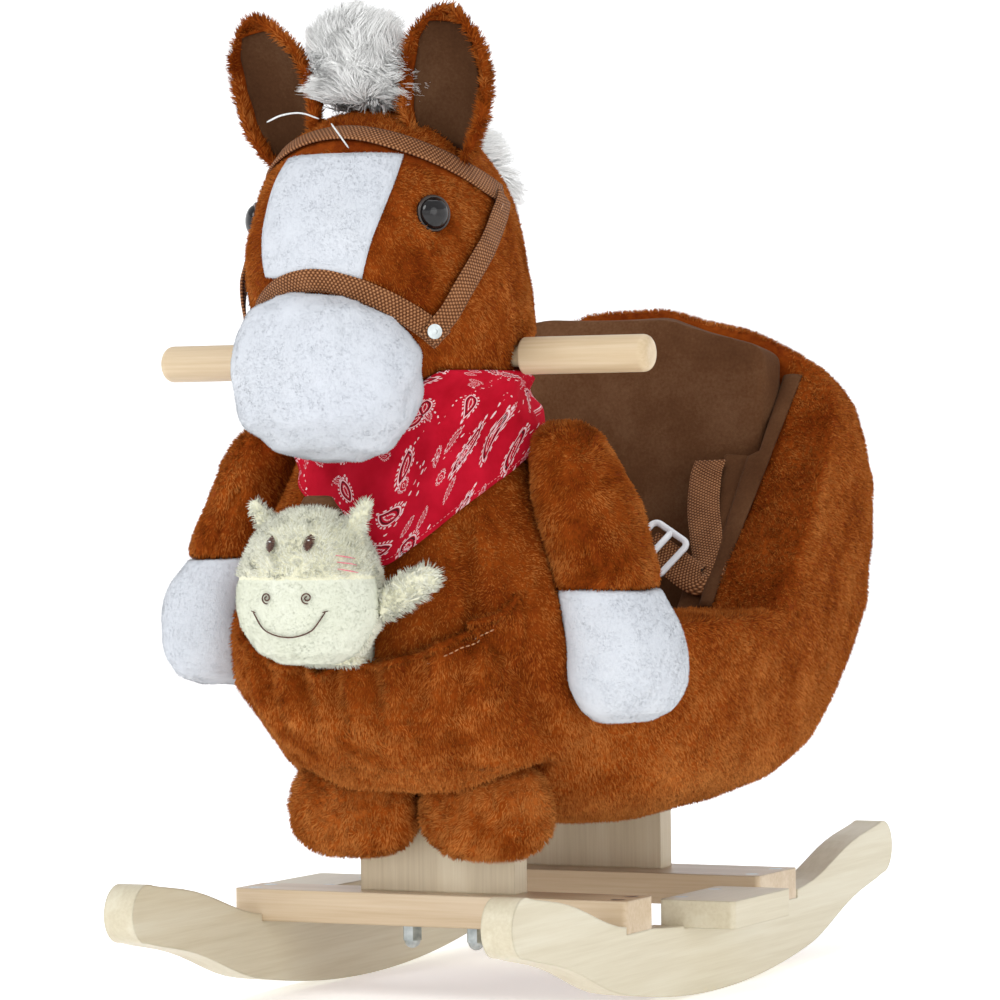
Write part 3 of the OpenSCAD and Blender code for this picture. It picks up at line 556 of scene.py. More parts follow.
def swell(obj, pressure, cap, frames=20):
    """Pumps a closed piece up with Blender's cloth, and lets no point move further than cap."""
    start = points(obj).copy()
    cloth = obj.modifiers.new("cloth", "CLOTH")
    cloth.settings.quality = 6
    cloth.settings.use_pressure = True
    cloth.settings.uniform_pressure_force = pressure
    cloth.settings.effector_weights.gravity = 0
    scene = bpy.context.scene
    for f in range(1, frames + 1):
        scene.frame_set(f)
    blown = obj.evaluated_get(bpy.context.evaluated_depsgraph_get())
    moved = points(blown) - start
    obj.modifiers.remove(cloth)
    scene.frame_set(1)
    far = np.linalg.norm(moved, axis=1, keepdims=True)
    move_points(obj, start + moved * np.minimum(1, cap / np.maximum(far, 1e-9)))


def refine(obj):
    obj.modifiers.new("finer", "SUBSURF").levels = 1
    bake_modifiers(obj)


def lumps(obj, size, height, seed):
    """Uneven stuffing: soft bumps along the normals."""
    co = points(obj)
    move_points(obj, co + normals(obj) * (sway_field(co, size, seed)[:, :1] * height))


def groove(obj, path, depth, width):
    """Presses a seam line into a piece along a path of points."""
    co, n = points(obj), normals(obj)
    line = resample(path, width * 0.5)
    near = np.full(len(co), 9.0)
    for p in line:
        near = np.minimum(near, np.linalg.norm(co - p, axis=1))
    move_points(obj, co - n * (depth * np.exp(-((near / width) ** 2)))[:, None])


def resample(path, step):
    """Evenly spaced points on a smooth curve through a path."""
    p = np.array([tuple(q) for q in path], float)
    if len(p) > 2:
        ends = np.vstack([2 * p[0] - p[1], p, 2 * p[-1] - p[-2]])
        fine = []
        for i in range(1, len(ends) - 2):
            a, b, c, d = ends[i - 1 : i + 3]
            for s in np.linspace(0, 1, 12, False):
                bend = (2 * a - 5 * b + 4 * c - d) * s**2
                twist = (3 * b - a - 3 * c + d) * s**3
                fine.append((2 * b + (c - a) * s + bend + twist) / 2)
        p = np.vstack([*fine, p[-1]])
    lengths = np.concatenate([[0], np.cumsum(np.linalg.norm(np.diff(p, axis=0), axis=1))])
    count = max(2, int(round(lengths[-1] / step)) + 1)
    at = np.linspace(0, lengths[-1], count)
    return np.stack([np.interp(at, lengths, p[:, k]) for k in range(3)], axis=1)


# ---------------------------------------------------------------- pile, fibres, strips and thread
TUFT_CAP = 48000


def scatter(obj, spacing, seed, keep=None, cap=TUFT_CAP):
    """Random places on a piece, with the normals there."""
    rng = np.random.default_rng(seed)
    co, n, tri = points(obj).astype(float), normals(obj).astype(float), triangles(obj)
    a, b, c = co[tri[:, 0]], co[tri[:, 1]], co[tri[:, 2]]
    area = np.linalg.norm(np.cross(b - a, c - a), axis=1) / 2
    count = int(area.sum() / spacing**2)
    pick = rng.choice(len(tri), count, p=area / area.sum())
    r, s = np.sqrt(rng.random(count)), rng.random(count)
    weights = np.stack([1 - r, r * (1 - s), r * s], axis=1)[:, :, None]
    root = (weights * co[tri[pick]]).sum(axis=1)
    normal = unit((weights * n[tri[pick]]).sum(axis=1))
    if keep is not None:
        shown = keep(root, normal)
        root, normal = root[shown], normal[shown]
    if len(root) > cap:
        chosen = rng.choice(len(root), cap, replace=False)
        root, normal = root[chosen], normal[chosen]
    return root, normal


def mark(obj, **values):
    """Stores one number a point under each name, for the materials to read."""
    for label, numbers in values.items():
        layer = obj.data.attributes.new(label, "FLOAT", "POINT")
        layer.data.foreach_set("value", numbers.astype(np.float32))


def tufts(name, root, normal, length, width, lay, lean, seed, puff, sink=0.0004):
    """Closed three-sided tufts of pile, combed the way lay points."""
    rng = np.random.default_rng(seed)
    count = len(root)
    comb = np.broadcast_to(np.asarray(lay, float), normal.shape)
    comb = comb - (comb * normal).sum(axis=1, keepdims=True) * normal
    clump = sway_field(root, 0.012, seed + 1) * 0.28 + sway_field(root, 0.05, seed + 2) * 0.22
    way = unit(normal + lean * comb + clump + rng.normal(size=(count, 3)) * 0.13)
    side = unit(np.cross(way, rng.normal(size=(count, 3))))
    other = np.cross(way, side)
    tall = length * rng.uniform(0.6, 1.15, (count, 1))
    foot = root - normal * sink
    ring = [foot + width * (math.cos(a) * side + math.sin(a) * other) for a in (0, 2.094, 4.189)]
    verts = np.stack([*ring, root + way * tall], axis=1).reshape(-1, 3)
    base = 4 * np.arange(count)[:, None, None]
    tris = (base + np.array([[0, 1, 3], [1, 2, 3], [2, 0, 3], [0, 2, 1]])[None]).reshape(-1, 3)
    obj = tri_mesh(name, verts, tris)
    tip = np.tile([0, 0, 0, 1], count)
    shade = 0.5 + sway_field(root, 0.02, seed + 3)[:, 0] * 0.16 + rng.normal(size=count) * 0.16
    tone = np.repeat(np.clip(shade, 0, 1), 4)
    mark(obj, tip=tip, tone=tone)
    soft = unit(np.repeat(normal, 4, axis=0) + puff * unit(verts - np.repeat(root, 4, axis=0)))
    obj.data.normals_split_custom_set_from_vertices([tuple(v) for v in soft])
    return obj


def pile(
    name, base, body, look, spacing, length, width=0.00045, lay=(0, 0, -1), lean=1.0, seed=1, keep=None,
    puff=0.3
):
    root, normal = scatter(base, spacing, seed, keep)
    if not len(root):
        return None
    return dress(tufts(name, root, normal, length, width, lay, lean, seed, puff), look, body)


def fibres(name, root, way, length, width, droop, seed, locks=90, pull=0.6, stations=4):
    """Long tapering fibres that bend with droop and meet in pointed locks."""
    rng = np.random.default_rng(seed)
    count = len(root)
    wave = sway_field(root, 0.03, seed + 2)
    way = unit(way + 0.3 * wave + rng.normal(size=(count, 3)) * 0.1)
    tall = length * rng.uniform(0.65, 1.1, (count, 1))
    bend = np.asarray(droop, float) + 0.3 * wave
    tip = root + way * tall + bend * tall * 0.3
    heads = rng.choice(count, locks, replace=False)
    nearest = np.argmin(((root[:, None, :] - root[None, heads, :]) ** 2).sum(axis=2), axis=1)
    share = pull * rng.uniform(0.5, 1, (count, 1))
    tip = tip + (tip[heads][nearest] + rng.normal(size=(count, 3)) * 0.0008 - tip) * share
    side = unit(np.cross(way, rng.normal(size=(count, 3))))
    other = np.cross(way, side)
    rings, spine = [], []
    for k in range(stations):
        s = k / (stations - 1)
        centre = root + way * tall * s * (1 - s * s) + (tip - root) * s**3
        spine.append(centre)
        thick = width * (1 - s) ** 0.6 + width * 0.12
        for a in (0, 2.094, 4.189):
            rings.append(centre + thick * (math.cos(a) * side + math.sin(a) * other))
    verts = np.stack(rings, axis=1).reshape(-1, 3)
    local = [[0, 2, 1], [3 * stations - 3, 3 * stations - 2, 3 * stations - 1]]
    for k in range(stations - 1):
        for j in range(3):
            a, b = 3 * k + j, 3 * k + (j + 1) % 3
            local += [[a, b, b + 3], [a, b + 3, a + 3]]
    tris = (3 * stations * np.arange(count)[:, None, None] + np.array(local)[None]).reshape(-1, 3)
    obj = tri_mesh(name, verts, tris)
    tone = np.clip(0.5 + (nearest % 7 - 3) * 0.06 + rng.normal(size=count) * 0.15, 0, 1)
    reach = np.tile(np.repeat(np.linspace(0, 1, stations), 3), count)
    mark(obj, tip=reach, tone=np.repeat(tone, 3 * stations))
    centre = root.mean(axis=0)
    rounded = unit(verts - centre) + 0.5 * unit(
        verts - np.repeat(np.stack(spine, axis=1).reshape(-1, 3), 3, axis=0)
    )
    obj.data.normals_split_custom_set_from_vertices([tuple(v) for v in unit(rounded)])
    return obj


def sweep(name, path, ups, section):
    """A closed solid swept along a path. section is a ring of (across, up) points."""
    path, ups = np.asarray(path, float), unit(np.asarray(ups, float))
    ahead = unit(np.gradient(path, axis=0))
    across = unit(np.cross(ahead, ups))
    ups = np.cross(across, ahead)
    count, sides = len(path), len(section)
    verts = [path[i] + across[i] * a + ups[i] * b for i in range(count) for a, b in section]
    faces = []
    for i in range(count - 1):
        for j in range(sides):
            a, b = i * sides + j, i * sides + (j + 1) % sides
            faces.append((a, b, b + sides, a + sides))
    faces += [tuple(range(sides - 1, -1, -1)), tuple(range((count - 1) * sides, count * sides))]
    obj = poly(name, verts, faces)
    along = np.concatenate([[0], np.cumsum(np.linalg.norm(np.diff(path, axis=0), axis=1))])
    layer = obj.data.uv_layers.new(name="weave")
    for loop in obj.data.loops:
        i, j = divmod(loop.vertex_index, sides)
        layer.data[loop.index].uv = (section[j][0] + 0.02, along[i])
    return obj


def strap(name, path, ups, width, thick):
    """Flat webbing with soft edges."""
    w, t = width / 2, thick / 2
    section = [
        (-w, 0), (-w * 0.94, -t), (-w * 0.45, -t * 1.05), (0, -t), (w * 0.45, -t * 1.05), (w * 0.94, -t)
    ]
    section += [(w, 0), (w * 0.94, t), (w * 0.45, t * 1.05), (0, t), (-w * 0.45, t * 1.05), (-w * 0.94, t)]
    return sweep(name, path, ups, section)


def thread(name, lines, radius, sides=6):
    """Round threads along several lines, each a list of points."""
    verts, faces = [], []
    for line in lines:
        line = np.asarray(line, float)
        ahead = unit(np.gradient(line, axis=0))
        side = unit(np.cross(ahead, (0.31, 0.17, 0.93)))
        other = np.cross(ahead, side)
        start, last = len(verts), len(line) - 1
        for i, p in enumerate(line):
            r = radius * (0.55 if i in (0, last) else 1)
            verts += [p + r * (math.cos(a) * side[i] + math.sin(a) * other[i]) for a in round_steps(sides)]
        for i in range(last):
            for j in range(sides):
                a, b = start + i * sides + j, start + i * sides + (j + 1) % sides
                faces.append((a, b, b + sides, a + sides))
        faces += [
            tuple(range(start + sides - 1, start - 1, -1)),
            tuple(range(start + last * sides, start + (last + 1) * sides))
        ]
    return poly(name, verts, faces)


def stitches(name, path, pitch, share, radius):
    """A row of separate stitches along a path."""
    line = resample(path, pitch)
    lines = [[p + (q - p) * s for s in (0, 0.5 * share, share)] for p, q in zip(line[:-1], line[1:])]
    return thread(name, lines, radius)


def lathe(name, profile, place, axis, sides=40):
    """A turned solid: profile is (radius, height) pairs along axis, and closes on the axis at both ends."""
    axis = Vector(axis).normalized()
    side = axis.orthogonal().normalized()
    other = axis.cross(side)
    place = Vector(place)
    verts, faces, rings = [], [], []
    for r, h in profile:
        if r < 1e-7:
            rings.append([len(verts)])
            verts.append(place + axis * h)
            continue
        rings.append(list(range(len(verts), len(verts) + sides)))
        ring_centre = place + axis * h
        for a in round_steps(sides):
            verts.append(ring_centre + side * (r * math.cos(a)) + other * (r * math.sin(a)))
    for a, b in zip(rings[:-1], rings[1:]):
        for j in range(sides):
            k = (j + 1) % sides
            quad = [a[j % len(a)], a[k % len(a)], b[k % len(b)], b[j % len(b)]]
            faces.append(tuple(dict.fromkeys(quad)))
    return poly(name, verts, faces)


class Skin:
    """Finds places on the outside of some pieces.

    oval holds rows of (height, centre y, half width, half depth), in metres.
    A turn of 0 faces -Y and 90 faces +X.
    """

    def __init__(self, pieces, oval=None):
        verts, tris = merged(pieces)
        self.tree = BVHTree.FromPolygons(verts.tolist(), tris.tolist())
        self.oval = None if oval is None else np.array(oval)

    def at(self, turn, z, out=0.0, far=0.4):
        centre, wide, deep = (np.interp(z, self.oval[:, 0], self.oval[:, k]) for k in (1, 2, 3))
        t = math.radians(turn)
        way = Vector((wide * math.sin(t), -deep * math.cos(t), 0)).normalized()
        axis = Vector((0, centre, z))
        hit, normal, _, _ = self.tree.ray_cast(axis + way * far, -way)
        if hit is None:
            hit, normal, _, _ = self.tree.find_nearest(axis + way * 0.05)
        if normal.dot(way) < 0:
            normal = -normal
        return hit + normal * out, normal

    def near(self, p, out=0.0):
        hit, normal, _, _ = self.tree.find_nearest(Vector(p))
        return hit + normal * out, normal

    def front(self, x, z, out=0.0):
        """The place seen from the front at x and z."""
        hit, normal, _, _ = self.tree.ray_cast(Vector((x, -1, z)), Vector((0, 1, 0)))
        if hit is None:
            return self.near((x, -0.26, z), out)
        return hit + normal * out, normal

    def bare(self, reach):
        """A test for scatter that leaves out places which this skin covers."""

        def keep(root, normal):
            cast = self.tree.ray_cast
            rows = zip(root.tolist(), normal.tolist())
            return np.array(
                [cast(Vector(p) - Vector(n) * 0.002, Vector(n), reach)[0] is None for p, n in rows]
            )

        return keep


def smooth_rows(grid, rounds):
    """Evens a grid of points out along both directions."""
    g = np.array(grid, float)
    for _ in range(rounds):
        g[1:-1] = (g[:-2] + 2 * g[1:-1] + g[2:]) / 4
        g[:, 1:-1] = (g[:, :-2] + 2 * g[:, 1:-1] + g[:, 2:]) / 4
    return g


def smooth_line(line, rounds):
    """Evens a line of points out along its length."""
    return smooth_rows(np.array(line)[:, None, :].repeat(3, axis=1), rounds)[:, 1]


def sheet_from(name, outer, thick, ups=None):
    """A closed sheet: outer is a grid of points, and the inner side lies thick behind it."""
    outer = np.asarray(outer, float)
    rows, cols = outer.shape[:2]
    if ups is None:
        ups = unit(np.cross(np.gradient(outer, axis=1), np.gradient(outer, axis=0)))
    inner = outer - ups * thick
    verts = np.vstack([outer.reshape(-1, 3), inner.reshape(-1, 3)])
    at = lambda s, i, j: (s * rows + i) * cols + j
    faces = [
        (
            at(0, i, j), at(0, i + 1, j), at(0, i + 1, j + 1), at(0, i, j + 1)
        ) for i in range(rows - 1) for j in range(cols - 1)
    ]
    faces += [
        (
            at(1, i, j), at(1, i, j + 1), at(1, i + 1, j + 1), at(1, i + 1, j)
        ) for i in range(rows - 1) for j in range(cols - 1)
    ]
    for j in range(cols - 1):
        faces.append((at(0, 0, j), at(0, 0, j + 1), at(1, 0, j + 1), at(1, 0, j)))
        faces.append(
            (at(0, rows - 1, j + 1), at(0, rows - 1, j), at(1, rows - 1, j), at(1, rows - 1, j + 1))
        )
    for i in range(rows - 1):
        faces.append((at(0, i + 1, 0), at(0, i, 0), at(1, i, 0), at(1, i + 1, 0)))
        faces.append(
            (at(0, i, cols - 1), at(0, i + 1, cols - 1), at(1, i + 1, cols - 1), at(1, i, cols - 1))
        )
    obj = poly(name, verts, faces)
    step_v = np.concatenate(
        [np.zeros((1, cols)), np.cumsum(np.linalg.norm(np.diff(outer, axis=0), axis=2), axis=0)]
    )
    step_u = np.concatenate(
        [np.zeros((rows, 1)), np.cumsum(np.linalg.norm(np.diff(outer, axis=1), axis=2), axis=1)], axis=1
    )
    layer = obj.data.uv_layers.new(name="weave")
    for loop in obj.data.loops:
        i, j = divmod(loop.vertex_index % (rows * cols), cols)
        layer.data[loop.index].uv = (step_u[i, j], step_v[i, j])
    return obj


def grid_area(grid):
    g = np.asarray(grid, float)
    a, b = np.diff(g, axis=0)[:, :-1], np.diff(g, axis=1)[:-1]
    return float(np.linalg.norm(np.cross(a, b), axis=2).sum())


# ---------------------------------------------------------------- the pieces
LOOKS = make_materials()
# Height, centre y, half width and half depth of the head and of the chest
HEAD_OVAL = [(0.36, -0.156, 0.071, 0.075), (0.38, -0.161, 0.073, 0.082), (0.4, -0.165, 0.071, 0.09),
             (0.42, -0.168, 0.068, 0.089), (0.44, -0.168, 0.064, 0.082), (0.46, -0.169, 0.058, 0.07),
             (0.48, -0.167, 0.043, 0.05)]
CHEST_OVAL = [(0.13, -0.112, 0.076, 0.068), (0.16, -0.113, 0.103, 0.086), (0.19, -0.115, 0.117, 0.091),
              (0.22, -0.115, 0.117, 0.09), (0.25, -0.118, 0.099, 0.081), (0.28, -0.122, 0.081, 0.071),
              (0.31, -0.126, 0.068, 0.063), (0.335, -0.13, 0.061, 0.056), (0.36, -0.156, 0.071, 0.075)]
# Height and centre y of the neck
NECK_LINE = [(0.24, -0.117), (0.28, -0.122), (0.335, -0.135), (0.36, -0.145)]
HIDDEN_BOARDS = ["front_post", "rear_post", "seat_board", "back_board", "neck_board",
                 "handle_grips", "handle_rod", "body_brackets", "board_screws"]
PADS = ["seat_cushion", "backrest_pad", "wing_pad_left", "wing_pad_right"]
HALTER = ["browband", "noseband", "cheek_straps"]
# The short nap of the white plush
NAP = {"length": 0.0009, "width": 0.0003, "lean": 1.2, "puff": 0.08}


def dress(obj, look, body="horse"):
    """Gives a piece its material and slot, and the body that it rides on."""
    obj.data.materials.clear()
    obj.data.materials.append(LOOKS[look])
    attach(obj, body)
    return obj


def pile_parts(name, base, body, look, parts, spacing, length, keep, **more):
    """Pile in several pieces, so that no piece holds too many tufts."""
    for i in range(parts):
        pile(
            f"{name}_{i + 1}", base, body, look, spacing * math.sqrt(parts), length, keep=keep,
            seed=11 * i + 7, **more
        )


def finish_wood():
    grain = {
        "wood_y": ["rocker_left", "rocker_right", "footrest_left", "footrest_right"],
        "wood_x": ["front_cross_slat", "rear_cross_board"],
        "wood_z": ["front_post", "rear_post"],
        "wood_grip": ["handle_grips", "handle_rod"],
        "ply": ["seat_board", "back_board", "neck_board"],
        "steel": ["post_bolts", "barrel_nuts", "post_washers", "cap_nuts", "rocker_screws",
                  "footrest_screws", "board_screws", "body_brackets", "bracket_screws", "halter_rivets"],
    }
    for look, names in grain.items():
        for node in nodes_named(names):
            node.data.materials.clear()
            node.data.materials.append(LOOKS[look])


def make_body():
    nodes = ["body_plush", "rump_plush", "seat_side_left", "seat_side_right"]
    skin = dress(skin_over("body_skin", nodes, 0.0035, 3), "brown_under")
    lumps(skin, 0.12, 0.0012, 3)
    lumps(skin, 0.045, 0.0005, 4)
    for side in (1, -1):
        crease = [(0.052, -0.184, 0.268), (0.06, -0.19, 0.24), (0.066, -0.194, 0.208),
                  (0.08, -0.186, 0.195), (0.087, -0.17, 0.172), (0.088, -0.15, 0.152)]
        groove(skin, [(side * x, y, z) for x, y, z in crease], 0.007, 0.006)
    return skin


def grow_body(skin, covers):
    hidden = Skin(nodes_named(HIDDEN_BOARDS + PADS + ["pony_body", "pony_head"]) + covers)
    pile_parts(
        "body_pile", skin, "horse", "brown_plush", 6, 0.0012, 0.003, hidden.bare(0.006),
        lay=(0, 0.35, -1)
    )
    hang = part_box("body_plush")[0].z

    def beneath(root, normal):
        near = np.hypot(root[:, 0], root[:, 1] - 0.059) < 0.009
        return near & (normal[:, 2] < -0.5) & (root[:, 2] < hang + 0.03)

    pile(
        "belly_tuft", skin, "horse", "brown_under", 0.0007, 0.011, width=0.0007, lay=(0.3, -0.4, -1),
        lean=0.4, seed=5, keep=beneath
    )


def make_pocket(body):
    """The front pouch: its mouth is drawn in by elastic, so the cloth below it falls in pleats."""
    rows, cols = 26, 110
    turns = np.linspace(-47, 46, cols)
    grid = np.zeros((rows, cols, 3))
    rng = np.random.default_rng(3)
    phase = np.cumsum(rng.uniform(0.4, 1.4, cols) * 0.5)
    for j, t in enumerate(turns):
        s = t + 8
        mouth = 0.190 + (0.036 * (s / 52) ** 2 if s > 0 else 0.016 * (s / 38) ** 2)
        ends = ease(47 - abs(t), 0, 14)
        for i in range(rows):
            v = i / (rows - 1)
            z = 0.136 + (mouth - 0.136) * v
            puff = 0.0014 + 0.0072 * ends * ease(v, 0, 0.5)
            pleat = math.cos(phase[j]) * 0.0042 * ease(v, 0.2, 1.0) * ends
            grid[i, j] = body.at(t, z, puff + pleat)[0]
    grid = smooth_rows(grid, 1)
    pocket = dress(sheet_from("pocket_cloth", grid, 0.0011), "brown_under")
    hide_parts("pocket")
    edge = resample(grid[-1], 0.0015)
    ups = np.array([body.near(p)[1] for p in edge])
    ring = [(0.0019 * math.cos(a), 0.0019 * math.sin(a)) for a in round_steps(10)]
    hem = dress(sweep("pocket_hem", edge, ups, ring), "brown_under")
    below_mouth = 0.006
    seam = []
    for t in np.linspace(20, 38, 12):
        seam.append(body.at(t, 0.19 + 0.036 * ((t + 8) / 52) ** 2 - below_mouth, 0.0105)[0])
    dress(stitches("pocket_top_stitch", seam, 0.0034, 0.68, 0.00045), "tan_thread")
    grid_area(grid)
    return pocket, hem


def make_bandana(around):
    low_line = [(-172, 0.318), (-105, 0.324), (-63, 0.309), (-31, 0.281), (8, 0.244), (18, 0.254),
                (44, 0.281), (81, 0.308), (105, 0.316), (172, 0.318)]
    top_line = [(-172, 0.330), (-100, 0.349), (-40, 0.350), (-22, 0.334), (18, 0.332),
                (37, 0.351), (91, 0.351), (120, 0.343), (172, 0.331)]
    rows, cols = 30, 150
    turns = np.linspace(-168, 168, cols)
    low = np.interp(turns, *np.array(low_line).T)
    top = np.interp(turns, *np.array(top_line).T)
    for _ in range(3):
        low[1:-1] = (low[:-2] + 2 * low[1:-1] + low[2:]) / 4
        top[1:-1] = (top[:-2] + 2 * top[1:-1] + top[2:]) / 4
    way = np.array([(math.sin(math.radians(t)), -math.cos(math.radians(t)), 0) for t in turns])
    way = np.broadcast_to(way, (rows, cols, 3))
    height = low + (top - low) * np.linspace(0, 1, rows)[:, None]
    axis = np.stack([0 * height, np.interp(height, *np.array(NECK_LINE).T), height], axis=2)
    reach = np.zeros((rows, cols))
    for i in range(rows):
        for j in range(cols):
            start = Vector(axis[i, j]) + Vector(way[i, j]) * 0.115
            hit = around.tree.ray_cast(start, -Vector(way[i, j]))[0]
            reach[i, j] = 0 if hit is None else (hit - Vector(axis[i, j])).dot(Vector(way[i, j]))
    taut = reach
    for _ in range(30):
        taut = np.maximum(smooth_rows(taut, 1), reach)
    taut = smooth_rows(taut, 3)
    v, t = np.linspace(0, 1, rows)[:, None], turns[None, :]
    fold = 0.0016 * np.sin(np.radians(t) * 9 + 2.5 * v) * np.sin(math.pi * (0.15 + 0.8 * v))
    fold = fold + 0.001 * np.sin(np.radians(t) * 17 - 5 * v + 1)
    flare = 0.008 * np.exp(-(((np.abs(t) - 84) / 13) ** 2)) * (1 - v) ** 1.5
    grid = axis + way * (np.maximum(taut, reach) + 0.0036 + fold + flare)[:, :, None]
    cloth = dress(sheet_from("bandana_cloth", grid, 0.0008, ups=way), "bandana")
    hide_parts("bandana")
    grid_area(grid)
    hem = [p + n * 0.0002 for p, n in zip(grid[1], way[1])]
    dress(stitches("bandana_hem_stitch", hem, 0.0026, 0.6, 0.00022), "pink_thread")
    return cloth


def make_knot():
    knot = dress(skin_over("bandana_knot_cloth", ["bandana_knot"], 0.0015, 3), "bandana")
    groove(knot, [(0, -0.05, 0.334), (0.001, -0.049, 0.323), (0, -0.05, 0.312)], 0.003, 0.003)
    lumps(knot, 0.012, 0.0009, 5)
    layer = knot.data.uv_layers.new(name="weave")
    for loop in knot.data.loops:
        p = knot.data.vertices[loop.vertex_index].co
        layer.data[loop.index].uv = (p.x + p.y, p.z)
    for side in (1, -1):
        grid = np.zeros((12, 9, 3))
        for i in range(12):
            s = i / 11
            for j in range(9):
                w = (j / 8 - 0.5) * 0.022 * math.sin(math.pi * (0.16 + 0.78 * s)) ** 0.8
                x = side * (0.003 + 0.018 * s + w * 0.55)
                grid[i, j] = (x, -0.0502 + 0.002 * math.sin(6 * s + 1.5 * j / 8), 0.324 - 0.032 * s + w)
        if side > 0:
            grid = grid[:, ::-1]
        tail = dress(sheet_from(f"bandana_end_{'left' if side > 0 else 'right'}", grid, 0.0008), "bandana")
        grid_area(grid)


def make_head():
    skin = dress(skin_over("head_skin", ["head"], 0.003, 3), "brown_under")
    lumps(skin, 0.06, 0.0006, 7)
    return skin


def make_muzzle():
    skin = dress(skin_over("muzzle_skin", ["muzzle"], 0.0026, 4), "white_plush")
    lumps(skin, 0.05, 0.0011, 21)
    lumps(skin, 0.018, 0.00035, 22)
    seam = [(0.0225, -0.262, 0.389), (0.0238, -0.2645, 0.378), (0.0253, -0.2713, 0.351),
            (0.029, -0.269, 0.341)]
    groove(skin, seam, 0.0016, 0.0024)
    groove(skin, [(0.029, -0.269, 0.341), (0.033, -0.262, 0.337)], 0.002, 0.004)
    groove(skin, [(0.030, -0.268, 0.340), (0.0274, -0.258, 0.319), (0.024, -0.25, 0.31)], 0.0012, 0.003)
    pile("muzzle_nap", skin, "horse", "white_plush", 0.00095, seed=8, **NAP)


def make_blaze(head):
    rows, cols = 24, 24
    grid = np.zeros((rows, cols, 3))
    for i in range(rows):
        v = i / (rows - 1)
        low, high = -26 - 6 * v, 21 + 20 * v
        for j in range(cols):
            u = j / (cols - 1)
            z = (0.402 - 0.005 * u) * (1 - v) + 0.4655 * v
            dome = 1 - (2 * u - 1) ** 6
            grid[i, j] = head.at(low + (high - low) * u, z, 0.0011 + 0.0012 * dome)[0]
    panel = dress(sheet_from("blaze_panel", smooth_rows(grid, 2), 0.0008), "white_plush")
    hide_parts("blaze")
    pile("blaze_nap", panel, "horse", "white_plush", 0.0009, seed=9, **NAP)
    return panel


def make_eyes():
    low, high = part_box("eyes")
    radius = (high.z - low.z) / 2
    for side, label in SIDES:
        turn = math.radians(56)
        way = Vector((side * math.sin(turn), -math.cos(turn), 0.04)).normalized()
        centre = Vector((side * (high.x - radius), low.y + radius, low.z + radius)) - way * 0.0012
        dome = [(0, -0.004), (0.0075, -0.004)]
        dome += [
            (
                0.0085 * math.cos(a), 0.0015 + 0.0052 * math.sin(a)
            ) for a in np.linspace(0, math.pi / 2, 10)
        ]
        dome[-1] = (0, 0.0067)
        eye = dress(lathe(f"eye_{label}", dome, centre, way), "eye")
        rim = [
            (0.0081, -0.003), (0.0094, -0.002), (0.0101, 0.0004), (0.0098, 0.0018), (0.0088, 0.0024),
            (0.0083, 0.0014), (0.0081, -0.003)
        ]
        dress(lathe(f"eye_rim_{label}", rim, centre, way), "eye_rim")
        if side > 0:
            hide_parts("eyes")


EAR_WIDTH = [
    (0, 0.012), (0.12, 0.018), (0.32, 0.0245), (0.55, 0.026), (0.78, 0.0215), (0.92, 0.0125),
    (1, 0.0045)
]


def ear_point(side, s, t, out):
    """A place on the cupped ear: s runs from base to tip, t across, out from the middle of the cloth."""
    base, tip = Vector((side * 0.044, -0.178, 0.468)), Vector((side * 0.059, -0.209, 0.545))
    up = (tip - base).normalized()
    face = Vector((side * 0.12, -1, 0))
    face = (face - up * face.dot(up)).normalized()
    across = up.cross(face) * -side
    width = np.interp(s, *np.array(EAR_WIDTH).T)
    bend = math.radians(82 - 44 * ease(s, 0, 0.7))
    radius = width / math.sin(min(bend, math.pi / 2))
    phi = bend * t
    bow = 0.005 * math.sin(math.pi * s)
    spot = base + up * (tip - base).length * s - face * bow
    outward = across * math.sin(phi) - face * math.cos(phi)
    return spot + face * radius + outward * (radius + out)


def make_ears():
    rows, cols = 26, 19
    for side, label in SIDES:
        grid = np.zeros((rows, cols, 3))
        back = np.zeros((rows, cols, 3))
        for i in range(rows):
            for j in range(cols):
                s, t = i / (rows - 1), 2 * j / (cols - 1) - 1
                thick = 0.0024 * (1 - abs(t) ** 6) * (1 - s**8) + 0.0006
                grid[i, j] = ear_point(side, s, t, thick)
                back[i, j] = ear_point(side, s, t, thick - 0.5)
        ups = unit(grid - back)
        if side < 0:
            grid, ups = grid[:, ::-1], ups[:, ::-1]
        shell = dress(sheet_from(f"ear_{label}_cloth", grid, 0.0045, ups=ups), "brown_under")
        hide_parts(f"ear_{label}")
        rows_in, cols_in = 20, 15
        inner = np.zeros((rows_in, cols_in, 3))
        ups_in = np.zeros((rows_in, cols_in, 3))
        for i in range(rows_in):
            for j in range(cols_in):
                s, t = 0.07 + 0.83 * i / (rows_in - 1), (2 * j / (cols_in - 1) - 1) * 0.74
                pucker = 0.0008 * math.sin(14 * s + 3 * t) * (1 - s)
                inner[i, j] = ear_point(side, s, t, -0.0034 - pucker)
                ups_in[i, j] = -unit(
                    np.array(ear_point(side, s, t, 0.1)) - np.array(ear_point(side, s, t, 0))
                )
        if side > 0:
            inner, ups_in = inner[:, ::-1], ups_in[:, ::-1]
        lining = dress(sheet_from(f"ear_lining_{label}", inner, 0.001, ups=ups_in), "lining")
        if side > 0:
            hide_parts("ear_linings")
        covered = Skin([lining])

        def keep(root, normal, covered=covered):
            return np.array([covered.tree.find_nearest(Vector(p))[3] > 0.0017 for p in root.tolist()])

        pile(
            f"ear_pile_{label}", shell, "horse", "brown_plush", 0.0011, 0.0046,
            lay=(side * 0.2, 0.1, 1), lean=0.6, seed=14 + side, keep=keep
        )


